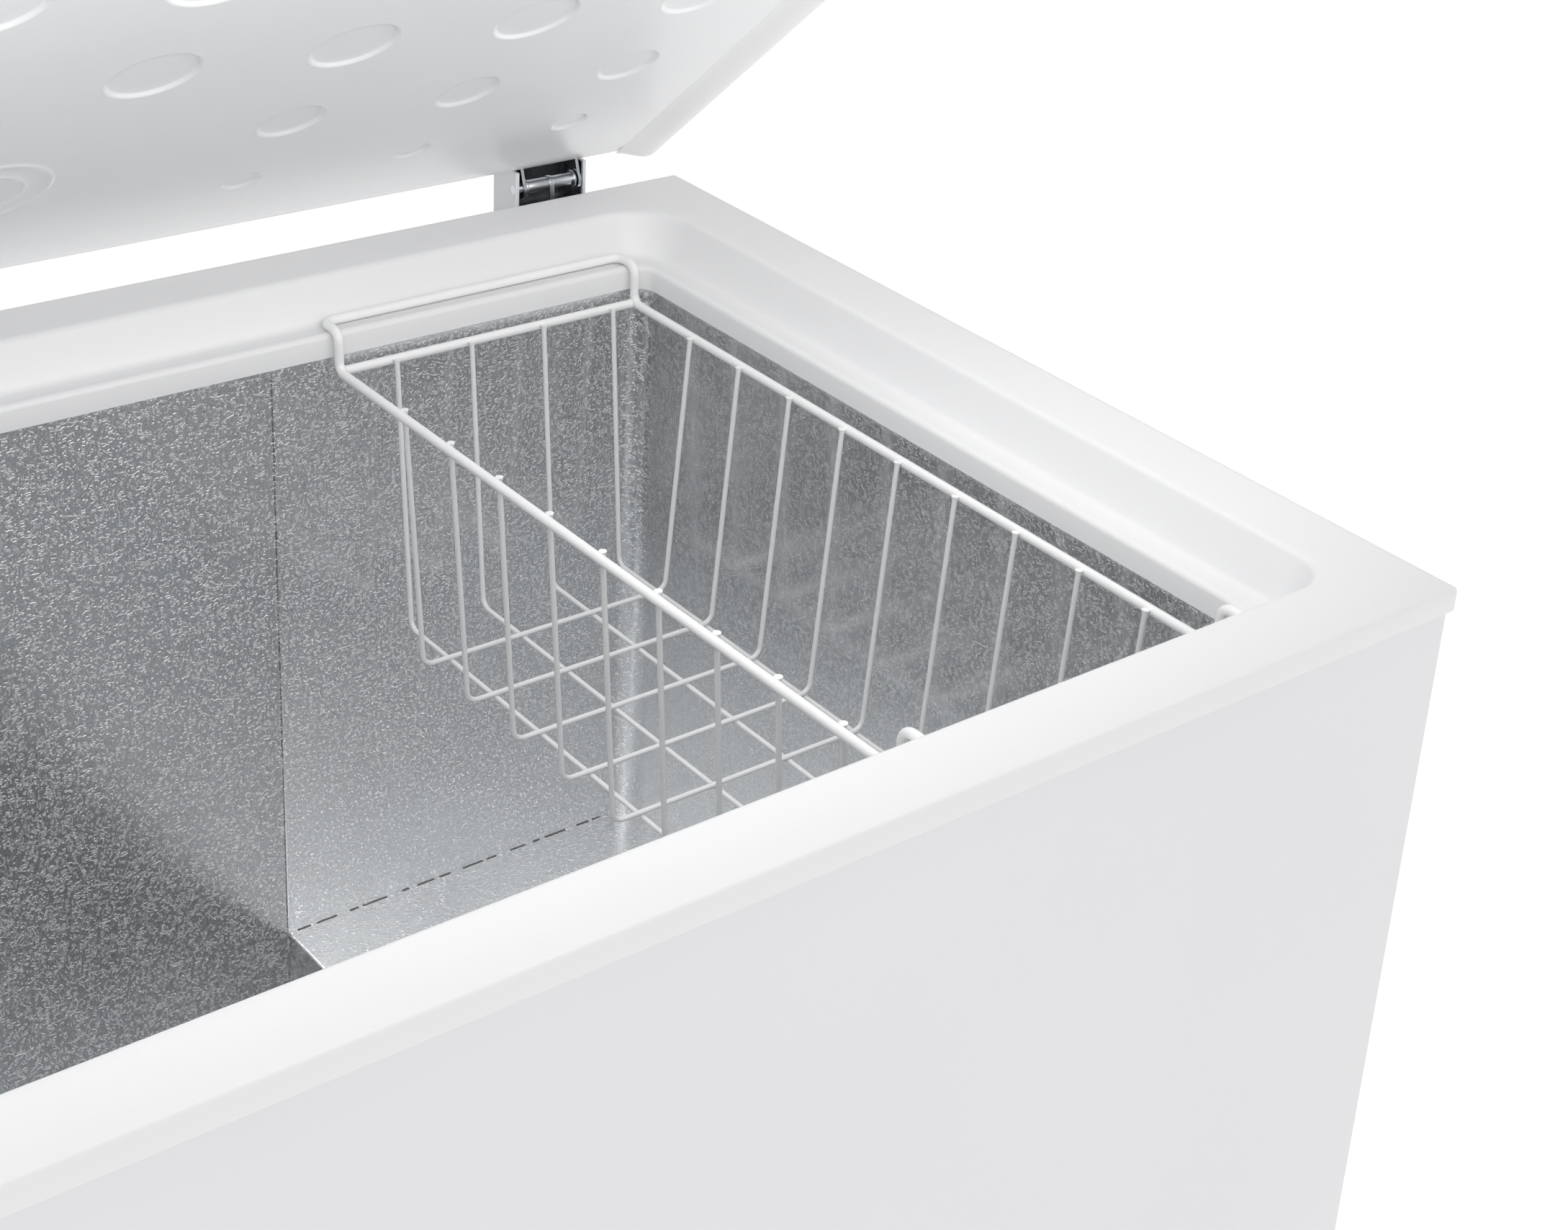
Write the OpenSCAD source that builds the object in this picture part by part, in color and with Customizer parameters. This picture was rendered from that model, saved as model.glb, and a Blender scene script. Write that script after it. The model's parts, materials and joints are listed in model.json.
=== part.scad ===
// Chest freezer, lid held open, with one hanging wire basket.
// Millimetres. X is width, Y is depth (front is -Y), Z is up, floor at Z = 0.

/* [Cabinet] */
// Width of the plastic collar
collar_w = 955; // [930:5:980]
// Depth of the plastic collar
collar_d = 645; // [630:5:660]
// Height of the collar's top above the floor
rim_z = 790; // [780:5:810]
// How far the collar stands out past the steel panels
overhang = 3; // [3:0.5:4]
// Thickness of the steel panels
panel_t = 1; // [0.8:0.1:1]
// Height of the steel base pan above the floor
base_z = 45; // [45:1:46]

/* [Collar] */
// Width of the flat rim at the sides
rim_side = 41.5; // [40:0.5:43]
// Width of the flat rim at the front
rim_front = 42; // [40:0.5:43]
// Width of the flat rim at the back
rim_back = 39.5; // [38:0.5:41]
// How far the sloping inner wall leans in
wall_inset = 13.1; // [12:0.1:14]
// Depth of the ledge below the rim
ledge_drop = 24.8; // [24:0.1:26]
// Width of the ledge that carries the basket
ledge_w = 15.8; // [15:0.1:16]
// Depth of the lip's lower edge below the rim
lip_drop = 38.2; // [37:0.1:40]
// Height of the collar's outer edge
edge_h = 12.6; // [12:0.1:14]
// Thickness of the collar
collar_t = 2.5; // [2:0.5:2.5]

/* [Inside] */
// Distance from the collar's right edge to the step's side
step_x = 318; // [310:1:325]
// Depth of the step's top below the rim
step_drop = 419; // [410:1:425]
// Height of the inside floor above the base
floor_rise = 55; // [50:1:60]
// Thickness of the aluminium liner
liner_t = 1; // [0.8:0.1:1]

/* [Lid] */
// Angle at which the lid stands open
lid_angle = 41.6; // [38:0.1:45]
// Thickness of the lid above its sealing lip
lid_h = 58; // [54:1:60]
// Gap between the closed lid's lip and the rim
lid_gap = 0.7; // [0.5:0.1:1]
// How far the lid overhangs the collar's front
lid_front_over = 6; // [4:1:8]
// Rounding of the lid's upper edges
lid_round = 12; // [10:1:14]
// Height of the recessed inner panel above the lip
lid_recess = 5.6; // [5:0.1:6]
// Distance between the dimple columns
dimple_pitch = 106; // [104:1:107]

/* [Hinges] */
// Distance of the hinge pin behind the collar
pin_back = 24; // [24:0.5:25]
// Distance from the collar's side edge to the hinge's outer side
hinge_side = 55; // [50:1:60]
// Width of a hinge channel
hinge_w = 51; // [51:1:52]

/* [Basket] */
// Distance between the basket's two side rails
basket_w = 200; // [196:1:202]
// Distance between the basket's two end rails
basket_l = 495; // [490:1:496]
// Depth of the basket below its rails
basket_h = 164.2; // [150:0.1:170]
// Thickness of the rail wire
rail_wire = 5.4; // [5:0.1:5.6]
// Thickness of the thin wire
thin_wire = 3; // [2.8:0.1:3.2]
// Distance of the right rail from the collar's right edge
basket_side = 80.6; // [80:0.1:82]

/* [Castors] */
// Radius of a castor wheel
wheel_r = 17; // [16:0.5:17]
// Width of a castor wheel
wheel_w = 14; // [12:1:14]

/* [Hidden] */
$fn = 48;
// Cutting tools run this far past a face
past = 1;
// Running clearance on radius between a pin and its hole
run = 0.05;
// Clearance between two parts that only pass each other
gap = 0.3;

// The lid's rear edge and top, measured from the hinge pin when the lid is closed
lid_rear_off = 12;
lid_back_reach = lid_round - (lid_rear_off + lid_round) * cos(lid_angle)
    + (lid_gap + lid_h - lid_round) * sin(lid_angle);
// The origin is under the middle of the whole object with the lid open
overall_d = collar_d + pin_back + lid_back_reach;
y_front = -overall_d / 2;
y_back = y_front + collar_d;
x_side = collar_w / 2;
x_panel = x_side - overhang;
y_panel_front = y_front + overhang;
y_panel_back = y_back - overhang;

// The opening in the collar
open_hx = x_side - rim_side;
open_hy = (collar_d - rim_front - rim_back) / 2;
open_y = y_front + rim_front + open_hy;
open_r = 38;
open_r_front = 24;
lip_inset = wall_inset + ledge_w;
lip_r = 14;
lip_z = rim_z - lip_drop;
ledge_z = rim_z - ledge_drop;

// The aluminium liner hangs just outside the collar's lip
liner_hx = open_hx - lip_inset + collar_t;
liner_hy = open_hy - lip_inset + collar_t;
liner_r = lip_r + collar_t;
liner_top = lip_z + 10;
floor_z = base_z + floor_rise;
step_left = x_side - step_x;
step_z = rim_z - step_drop;

// The compressor bay under the step
bay_x0 = step_left + 55;
bay_x1 = x_panel - panel_t;
bay_y0 = y_panel_front + panel_t;
bay_y1 = y_panel_back - panel_t;
bay_z0 = base_z + panel_t;
bay_z1 = step_z - 60;

// The grille and the controls, low on the front at the right
grille_x0 = 222;
grille_x1 = 430;
grille_z0 = 80;
grille_z1 = 222;
bezel_z1 = 290;
bezel_z = (grille_z1 + bezel_z1) / 2;
face_y = y_front + 1;
knob_x = 385;
switch_x = 335;
lamp_x = 240;
lamp_pitch = 24;
gland_z = 90;

// The compressor
comp_x = 345;
comp_y = y_back - 150;
comp_z = bay_z0 + 14;
comp_r = 70;
comp_h = 165;
foot_x = 80;
foot_y = 55;

// The hinge pin, and the hinges' middles
pin_y = y_back + pin_back;
pin_z = rim_z;
pin_r = 3;
hinge_x = x_side - hinge_side - hinge_w / 2;
channel_y0 = pin_y - 4.2;
channel_y1 = channel_y0 + 26;
channel_t = 2;
channel_top = pin_z + 12;
channel_low = pin_z - 150;

// The lid, where it lies when closed
lid_hx = x_panel;
lid_y1 = pin_y - lid_rear_off;
lid_y0 = y_front - lid_front_over;
lid_d = lid_y1 - lid_y0;
lid_y = (lid_y0 + lid_y1) / 2;
lip_plane = rim_z + lid_gap;
panel_z = lip_plane + lid_recess;
inner_t = 2.4;
shell_z = panel_z + inner_t;
shell_top = lip_plane + lid_h;
lid_corner_r = 14;
// Dimple rows: distance from the lid's rear edge, then radius
dimple_rows = [[77, 13], [156, 20.5], [247, 25.5], [349, 29], [450, 25.5], [541, 20.5]];
ring_from_rear = 124;

// The basket
rail_z = rim_z - 45.5;
rail_r = rail_wire / 2;
thin_r = thin_wire / 2;
basket_x = x_side - basket_side - basket_w / 2;
basket_y = open_y;
basket_low = rail_z - basket_h;
hook_z = ledge_z + rail_r + 0.4;
hook_y = open_hy - wall_inset - 3.4;
side_taper = 15.5;
end_taper = 19;
cross_n = 9;
cross_pitch = 48.2;
cross_shift = -9.8;
long_n = 4;
long_pitch = 49.2;
long_shift = 8;

// The castors
castor_x = x_panel - 62;
castor_y0 = y_panel_front + 62;
castor_y1 = y_panel_back - 62;
trail = 12;
kingpin_r = 5;
axle_r = 3;

// ---- Shapes used by several parts ----

module round_rect(w, d, r, f = 0) {
    q = f > 0 ? f : r;
    translate([0, (q - r) / 2]) square([w, d - r - q], center = true);
    for (sx = [-1, 1], sy = [-1, 1]) {
        c = sy < 0 ? q : r;
        translate([sx * (w / 2 - c), sy * (d / 2 - c)]) circle(c);
    }
    for (sy = [-1, 1]) translate([0, sy * d / 4])
        square([w - 2 * (sy < 0 ? q : r), d / 2], center = true);
}

// An upright prism with rounded corners, about the opening's middle
module prism(hx, hy, r, z0, z1, f = 0) {
    translate([0, open_y, z0])
        linear_extrude(z1 - z0) round_rect(2 * hx, 2 * hy, r, f);
}

// A straight-sided box given by its two corners
module box(x0, x1, y0, y1, z0, z1) {
    translate([x0, y0, z0]) cube([x1 - x0, y1 - y0, z1 - z0]);
}

// The drafted opening: hx and hy hold at the top, and everything leans in by inset.
// The front corners have a smaller radius than the back ones.
module draft_opening(hx, hy, r, inset, z0, z1) {
    f = r - open_r + open_r_front;
    tall = z1 - z0;
    translate([0, open_y, z0]) {
        for (sx = [-1, 1], sy = [-1, 1]) {
            q = sy < 0 ? f : r;
            translate([sx * (hx - q), sy * (hy - q), 0])
                rotate_extrude()
                    polygon([[0, 0], [q - inset, 0], [q, tall], [0, tall]]);
        }
        translate([0, (f - r) / 2, 0]) rotate([90, 0, 0])
            linear_extrude(2 * hy - r - f, center = true)
                polygon([[inset - hx, 0], [hx - inset, 0], [hx, tall], [-hx, tall]]);
        for (sy = [-1, 1]) rotate([90, 0, 90])
            linear_extrude(2 * (hx - (sy < 0 ? f : r)), center = true)
                polygon(sy < 0 ? [[inset - hy, 0], [0, 0], [0, tall], [-hy, tall]]
                    : [[0, 0], [hy - inset, 0], [hy, tall], [0, tall]]);
    }
}

// A round bar from a to b
module bar(a, b, r) {
    d = b - a;
    l = norm(d);
    translate(a)
        rotate([0, acos(d[2] / l), atan2(d[1], d[0])])
            cylinder(h = l, r = r);
}

// A bent wire or tube through the points, with ball joints a touch larger than the wire
module wire(points, r) {
    for (i = [1 : len(points) - 1]) bar(points[i - 1], points[i], r);
    for (i = [1 : len(points) - 2]) translate(points[i]) sphere(r + 0.06);
}

// A closed tube loop with bent corners
module loop(hx, hy, r, tube_r, z) {
    translate([0, open_y, z]) {
        for (sx = [-1, 1]) {
            translate([sx * hx, 0, 0]) rotate([90, 0, 0])
                cylinder(h = 2 * (hy - r), r = tube_r, center = true);
            translate([0, sx * hy, 0]) rotate([0, 90, 0])
                cylinder(h = 2 * (hx - r), r = tube_r, center = true);
        }
        for (q = [[1, 1, 0], [-1, 1, 90], [-1, -1, 180], [1, -1, 270]])
            translate([q[0] * (hx - r), q[1] * (hy - r), 0]) rotate([0, 0, q[2]])
                rotate_extrude(angle = 90) translate([r, 0]) circle(tube_r);
    }
}

// A flat outline with its two upper corners rounded
module arch(hw, z0, z1, r) {
    translate([-hw, z0]) square([2 * hw, z1 - r - z0]);
    translate([r - hw, z0]) square([2 * (hw - r), z1 - z0]);
    for (s = [-1, 1]) translate([s * (hw - r), z1 - r]) circle(r);
}

// The lid's block with rounded top edges, drawn in by inset on every side
module lid_block(inset, z0, z1) {
    r = lid_round - inset;
    hx = lid_hx - inset;
    hy = lid_d / 2 - inset;
    translate([0, lid_y, 0]) intersection() {
        translate([0, 0, z0 - past]) linear_extrude(z1 - z0 + 2 * past)
            round_rect(2 * hx, 2 * hy, lid_corner_r - inset);
        rotate([90, 0, 0]) linear_extrude(2 * hy + 20, center = true) arch(hx, z0, z1, r);
        rotate([90, 0, 90]) linear_extrude(2 * hx + 20, center = true) arch(hy, z0, z1, r);
    }
}

// Turns what belongs to the lid from closed to its open rest place
module opened() {
    translate([0, pin_y, pin_z])
        rotate([-lid_angle, 0, 0])
            translate([0, -pin_y, -pin_z]) children();
}

module at_corners(x, y) {
    for (sx = [-1, 1], sy = [-1, 1]) translate([sx * x, sy * y, 0]) children();
}

// ---- Cabinet panels ----

module front_panel() {
    color("white") difference() {
        box(-x_panel, x_panel, y_panel_front, y_panel_front + panel_t, base_z, rim_z - collar_t);
        box(grille_x0, grille_x1, y_panel_front - past, y_panel_front + panel_t + past,
            grille_z0, bezel_z1);
    }
}

module side_sheet() {
    box(x_panel - panel_t, x_panel, y_panel_front + panel_t, y_panel_back, base_z, rim_z - collar_t);
}

module left_panel() {
    color("white") mirror([1, 0, 0]) side_sheet();
}

// The right side has rows of cooling slots for the compressor bay
module right_panel() {
    color("white") difference() {
        side_sheet();
        for (i = [0 : 9], j = [0 : 1])
            translate([x_panel - panel_t - past, y_back - 250 + j * 85, 95 + i * 15])
                cube([panel_t + 2 * past, 65, 5]);
    }
}

module back_panel() {
    color("gainsboro") difference() {
        box(-x_panel + panel_t, x_panel - panel_t, y_panel_back - panel_t, y_panel_back,
            base_z, rim_z - collar_t);
        box(bay_x0 + 12, x_panel - 13, y_panel_back - panel_t - past, y_panel_back + past,
            grille_z0, bezel_z1);
    }
}

module base_pan() {
    color("silver") difference() {
        box(-x_panel + panel_t, x_panel - panel_t, y_panel_front + panel_t, y_panel_back - panel_t,
            base_z, base_z + panel_t);
        for (i = [0 : 5])
            box(bay_x0 + 30, bay_x1 - 30, bay_y0 + 130 + i * 16, bay_y0 + 136 + i * 16,
                base_z - past, base_z + panel_t + past);
        drain_bore(12);
    }
}

// Foam fills everything between the panels, the collar and the liner
evap_pocket = 8.6;
evap_z = [for (i = [0 : 4]) rim_z - 90 - i * 70];
cond_z = [for (i = [0 : 3]) rim_z - 100 - i * 110];
cond_pocket = 6.8;

// The drain runs straight down through the floor, the foam and the base pan
module drain_bore(r) {
    translate([-x_side + 110, y_front + 100, base_z - past]) cylinder(h = floor_rise + 10, r = r);
}

module liner_outer_space() {
    difference() {
        prism(liner_hx + liner_t, liner_hy + liner_t, liner_r + liner_t, floor_z - liner_t, liner_top);
        box(step_left + liner_t, x_side, y_front, y_back, floor_z - liner_t - past, step_z - liner_t);
    }
}

module cabinet_foam() {
    color("khaki") difference() {
        box(-x_panel + panel_t, x_panel - panel_t, y_panel_front + panel_t, y_panel_back - panel_t,
            base_z + panel_t, rim_z - collar_t);
        draft_opening(open_hx + collar_t, open_hy + collar_t, open_r + collar_t, wall_inset,
            ledge_z - collar_t, rim_z);
        prism(open_hx - lip_inset + collar_t, open_hy - lip_inset + collar_t, lip_r + collar_t,
            lip_z, rim_z - ledge_drop);
        liner_outer_space();
        for (z = evap_z)
            prism(liner_hx + liner_t + evap_pocket, liner_hy + liner_t + evap_pocket,
                liner_r + liner_t + evap_pocket, z - evap_pocket / 2, z + evap_pocket / 2);
        for (z = cond_z) difference() {
            box(-x_side, x_side, y_front, y_back, z - cond_pocket / 2, z + cond_pocket / 2);
            box(-x_panel + panel_t + cond_pocket, x_panel - panel_t - cond_pocket,
                y_panel_front + panel_t + cond_pocket, y_panel_back - panel_t - cond_pocket,
                z - cond_pocket, z + cond_pocket);
        }
        box(bay_x0 - panel_t, x_side, y_front, y_back, base_z, bay_z1 + panel_t);
        drain_bore(12);
    }
}

// The plastic rim: flat top, outer edge, sloping wall, ledge and lip
module collar() {
    color("whitesmoke") difference() {
        union() {
            box(-x_side, x_side, y_front, y_back, rim_z - edge_h, rim_z);
            draft_opening(open_hx + collar_t, open_hy + collar_t, open_r + collar_t, wall_inset,
                ledge_z - collar_t, rim_z);
            prism(open_hx - lip_inset + collar_t, open_hy - lip_inset + collar_t, lip_r + collar_t,
                lip_z, ledge_z);
        }
        draft_opening(open_hx, open_hy, open_r, wall_inset, ledge_z, rim_z);
        prism(open_hx, open_hy, open_r, rim_z - 0.001, rim_z + past, open_r_front);
        prism(open_hx - lip_inset, open_hy - lip_inset, lip_r, lip_z - past, rim_z);
        difference() {
            box(-x_panel, x_panel, y_panel_front, y_panel_back, rim_z - edge_h - past, rim_z - collar_t);
            draft_opening(open_hx + collar_t, open_hy + collar_t, open_r + collar_t, wall_inset,
                ledge_z - collar_t, rim_z);
        }
    }
}

// ---- Liner ----

module liner_shell() {
    difference() {
        prism(liner_hx + liner_t, liner_hy + liner_t, liner_r + liner_t, floor_z - liner_t, liner_top);
        prism(liner_hx, liner_hy, liner_r, floor_z, liner_top + past);
    }
}

module liner_left() {
    color("silver") difference() {
        intersection() {
            liner_shell();
            box(-x_side, step_left, y_front, y_back, 0, rim_z);
        }
        drain_bore(10.4);
    }
}

module liner_right() {
    color("silver") intersection() {
        liner_shell();
        box(step_left, x_side, y_front, y_back, step_z, rim_z);
    }
}

// The step over the compressor bay: its side and its top
module liner_step() {
    color("silver") intersection() {
        prism(liner_hx + liner_t, liner_hy + liner_t, liner_r + liner_t, floor_z, step_z);
        union() {
            box(step_left, step_left + liner_t, y_front, y_back, floor_z, step_z);
            box(step_left, x_side, y_front, y_back, step_z - liner_t, step_z);
        }
    }
}

// ---- Refrigeration ----

module evaporator_tube() {
    r = 4;
    off = liner_t + evap_pocket / 2;
    color("peru") for (z = evap_z)
        loop(liner_hx + off, liner_hy + off, liner_r + off, r, z);
}

module condenser_tube() {
    r = 3;
    off = panel_t + cond_pocket / 2;
    hy = (y_panel_back - y_panel_front) / 2 - off;
    color("peru") translate([0, (y_panel_front + y_panel_back) / 2 - open_y, 0])
        for (z = cond_z) loop(x_panel - off, hy, r + 1, r, z);
}

module bay_shield() {
    color("silver") {
        box(bay_x0 - panel_t, bay_x0, bay_y0, bay_y1, bay_z0, bay_z1);
        box(bay_x0 - panel_t, bay_x1, bay_y0, bay_y1, bay_z1, bay_z1 + panel_t);
    }
}

// Sealed shell with a welded seam and three stubs
module compressor() {
    round_r = 34;
    color("dimgray") translate([comp_x, comp_y, comp_z]) {
        rotate_extrude() {
            square([comp_r - round_r, comp_h]);
            translate([0, round_r]) square([comp_r, comp_h - 2 * round_r]);
            for (z = [round_r, comp_h - round_r])
                translate([comp_r - round_r, z]) circle(round_r);
            translate([0, comp_h * 0.55]) square([comp_r + 3, 4]);
        }
        for (a = [225, 255, 285]) rotate([0, 0, a]) translate([comp_r - 4, 0, 60])
            rotate([0, 90, 0]) cylinder(h = 18, r = 3.5);
    }
}

module compressor_plate() {
    color("dimgray") difference() {
        translate([comp_x, comp_y, comp_z - 3])
            linear_extrude(3) round_rect(2 * foot_x + 30, 2 * foot_y + 30, 12);
        translate([comp_x, comp_y, comp_z - 3 - past])
            at_corners(foot_x, foot_y) cylinder(h = 3 + 2 * past, r = 6);
    }
}

module compressor_grommets() {
    color("black") translate([comp_x, comp_y, bay_z0])
        at_corners(foot_x, foot_y) difference() {
            union() {
                cylinder(h = comp_z - 3 - bay_z0, r = 10);
                cylinder(h = comp_z + 3 - bay_z0, r = 6);
            }
            translate([0, 0, -past]) cylinder(h = 40, r = 4);
        }
}

module compressor_bolts() {
    color("silver") translate([comp_x, comp_y, bay_z0])
        at_corners(foot_x, foot_y) {
            cylinder(h = comp_z + 3 - bay_z0, r = 4);
            translate([0, 0, comp_z + 3 - bay_z0]) cylinder(h = 5, r = 7, $fn = 6);
        }
}

module start_relay_cover() {
    color("black") difference() {
        translate([comp_x - comp_r - 24, comp_y - 30, comp_z + 50]) cube([34, 60, 55]);
        translate([comp_x, comp_y, comp_z]) cylinder(h = comp_h, r = comp_r + 3 + gap);
    }
}

drier_a = [comp_x + 60, comp_y - 130, comp_z + 40];
drier_b = drier_a + [0, 70, 60];

module filter_drier() {
    color("peru") bar(drier_a, drier_b, 9);
}

function stub(a) = [comp_x + (comp_r + 14) * cos(a), comp_y + (comp_r + 14) * sin(a), comp_z + 60];

module suction_tube() {
    p = stub(225) + [-12, -12, 0];
    color("peru") wire([stub(225), p, p + [0, 0, 120], [bay_x0 + 20, comp_y - 95, bay_z1 - 30],
        [bay_x0 + 20, comp_y - 95, bay_z1]], 4);
}

module discharge_tube() {
    p = stub(285) + [3, -14, 0];
    color("peru") wire([stub(285), p, p + [0, 0, 130], [comp_x + 100, comp_y - 140, bay_z1 - 40],
        [comp_x + 100, comp_y - 140, bay_z1]], 3);
}

// The fine tube leaves the drier and is coiled once before it goes up
module capillary_tube() {
    top = drier_b + [0, 8, 14];
    color("peru") {
        wire([drier_b + [0, 3, 3], top, top + [0, 30, 60], [top[0], top[1] + 30, bay_z1]], 1.5);
        bar(drier_a - [0, 3, 3], [drier_a[0], drier_a[1] - 10, drier_a[2] - 10], 1.5);
    }
}

// ---- Grilles and controls ----

module front_grille() {
    frame_w = 10;
    slats = 10;
    pitch = (grille_z1 - grille_z0 - 2 * frame_w) / slats;
    color("white") {
        difference() {
            box(grille_x0, grille_x1, face_y, y_panel_front + 4, grille_z0, grille_z1);
            box(grille_x0 + frame_w, grille_x1 - frame_w, face_y - past, y_panel_front + 4 + past,
                grille_z0 + frame_w, grille_z1 - frame_w);
        }
        for (i = [0 : slats - 1])
            translate([grille_x0 + frame_w, face_y + 1.2, grille_z0 + frame_w + (i + 0.15) * pitch])
                rotate([-20, 0, 0]) cube([grille_x1 - grille_x0 - 2 * frame_w, 2, pitch * 0.55]);
    }
}

// Steel cover over the back of the compressor bay
module rear_grille() {
    x0 = bay_x0 + 2;
    x1 = x_panel - 3;
    color("gainsboro") difference() {
        box(x0, x1, y_panel_back, y_panel_back + 1.2, grille_z0 - 12, bezel_z1 + 12);
        for (i = [0 : 11], j = [0 : 2])
            box(x0 + 22 + j * 76, x0 + 80 + j * 76, y_panel_back - past, y_panel_back + 1.2 + past,
                100 + i * 14, 106 + i * 14);
        translate([x1 - 20, y_panel_back - past, gland_z]) rotate([-90, 0, 0]) cylinder(h = 4, r = 7);
    }
}

// Where the mains lead would pass the rear cover
module cord_gland() {
    color("black") translate([x_panel - 23, y_panel_back - 4, gland_z]) rotate([-90, 0, 0])
        difference() {
            union() {
                cylinder(h = 8, r = 7);
                cylinder(h = 4, r = 9.5);
                translate([0, 0, 5.2]) cylinder(h = 2, r = 9.5);
            }
            translate([0, 0, -past]) cylinder(h = 10, r = 4);
        }
}

module control_bezel() {
    color("white") difference() {
        box(grille_x0, grille_x1, face_y, y_panel_front + 4, grille_z1, bezel_z1);
        translate([knob_x, face_y - past, bezel_z]) rotate([-90, 0, 0]) cylinder(h = 12, r = 21);
        for (i = [0 : 2])
            translate([lamp_x + i * lamp_pitch, face_y - past, bezel_z]) rotate([-90, 0, 0])
                cylinder(h = 12, r = 3.5);
        box(switch_x - 7.5, switch_x + 7.5, face_y - past, y_panel_front + 5, bezel_z - 11, bezel_z + 11);
    }
}

module thermostat_body() {
    color("lightgray") {
        box(knob_x - 24, knob_x + 24, y_panel_front + 4, y_panel_front + 34, bezel_z - 24, bezel_z + 24);
        translate([knob_x, y_panel_front - 0.7, bezel_z]) rotate([-90, 0, 0]) cylinder(h = 6, r = axle_r);
    }
}

module thermostat_knob() {
    color("lightgray") translate([knob_x, face_y, bezel_z]) rotate([-90, 0, 0]) difference() {
        union() {
            cylinder(h = 4, r = 20);
            translate([-3, -17, -0.8]) cube([6, 34, 1.8]);
        }
        translate([0, 0, 1]) cylinder(h = 10, r = axle_r + run);
    }
}

module indicator_lamps() {
    color("limegreen") for (i = [0 : 2])
        translate([lamp_x + i * lamp_pitch, face_y - 0.6, bezel_z]) rotate([-90, 0, 0])
            cylinder(h = 10, r = 3.5);
}

// Rocker that turns on the fast-freeze setting
module freeze_switch() {
    color("orange") translate([switch_x, face_y + 3.4, bezel_z]) rotate([10, 0, 0])
        rotate([90, 0, 90]) linear_extrude(14, center = true)
            intersection() {
                polygon([[-4, -9.5], [-1.2, 0], [-4, 9.5], [4, 9.5], [4, -9.5]]);
                circle(10.2);
            }
}

// Stopper in the drain hole of the inside floor
module drain_plug() {
    color("white") translate([-x_side + 110, y_front + 100, floor_z + gap]) {
        cylinder(h = 2.5, r = 16);
        translate([0, 0, -10]) cylinder(h = 11, r = 10);
        difference() {
            translate([0, 0, 2]) cylinder(h = 9, r = 7);
            translate([-2, -10, 5]) cube([4, 20, 10]);
        }
    }
}

// ---- Castors ----

module castor_places() {
    for (sx = [-1, 1], y = [castor_y0, castor_y1]) translate([sx * castor_x, y, 0]) children();
}

module caster_plates() {
    color("silver") castor_places() {
        translate([0, 0, base_z - 2.5]) linear_extrude(2.5) round_rect(62, 62, 8);
        translate([0, 0, base_z - 6.5]) cylinder(h = 5, r = kingpin_r);
    }
}

// A bent fork: a ring on the king pin, a bridge, and two cheeks on the axle
module fork(bore_r) {
    top = base_z - 3.2;
    cheek = 2;
    inner = wheel_w / 2 + 1;
    color("silver") difference() {
        union() {
            translate([0, 0, top - 3.2]) cylinder(h = 3.2, r = 15);
            for (s = [-1, 1]) translate([s * (inner + cheek / 2), 0, 0]) {
                translate([0, trail, wheel_r]) rotate([0, 90, 0])
                    cylinder(h = cheek, r = 7, center = true);
                translate([0, (trail - 9) / 2, (wheel_r + top) / 2])
                    cube([cheek, trail + 9, top - wheel_r], center = true);
            }
        }
        translate([0, 0, top - 5]) cylinder(h = 8, r = bore_r);
        translate([0, trail, wheel_r]) rotate([0, 90, 0]) cylinder(h = 60, r = axle_r, center = true);
        translate([0, trail, wheel_r]) rotate([0, 90, 0])
            cylinder(h = 2 * inner, r = wheel_r + 1.5, center = true);
    }
}

module axle() {
    color("silver") translate([0, trail, wheel_r]) rotate([0, 90, 0])
        cylinder(h = wheel_w + 10, r = axle_r, center = true);
}

module wheel() {
    color("dimgray") translate([0, trail, wheel_r]) rotate([0, 90, 0])
        rotate_extrude() polygon([
            [axle_r + run, -wheel_w / 2], [8, -wheel_w / 2], [9, -wheel_w / 2 + 2],
            [wheel_r - 4, -wheel_w / 2 + 2], [wheel_r - 2, -wheel_w / 2], [wheel_r, -wheel_w / 2 + 2],
            [wheel_r, wheel_w / 2 - 2], [wheel_r - 2, wheel_w / 2], [wheel_r - 4, wheel_w / 2 - 2],
            [9, wheel_w / 2 - 2], [8, wheel_w / 2], [axle_r + run, wheel_w / 2]
        ]);
}

module rear_caster_forks() {
    for (s = [-1, 1]) translate([s * castor_x, castor_y1, 0]) fork(kingpin_r);
}

module rear_axles() {
    for (s = [-1, 1]) translate([s * castor_x, castor_y1, 0]) axle();
}

module front_castor(s) {
    translate([s * castor_x, castor_y0, 0]) children();
}

module rear_castor(s) {
    translate([s * castor_x, castor_y1, 0]) children();
}

// ---- Hinges ----

module hinge_place(s) {
    translate([s * hinge_x, 0, 0]) children();
}

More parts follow.
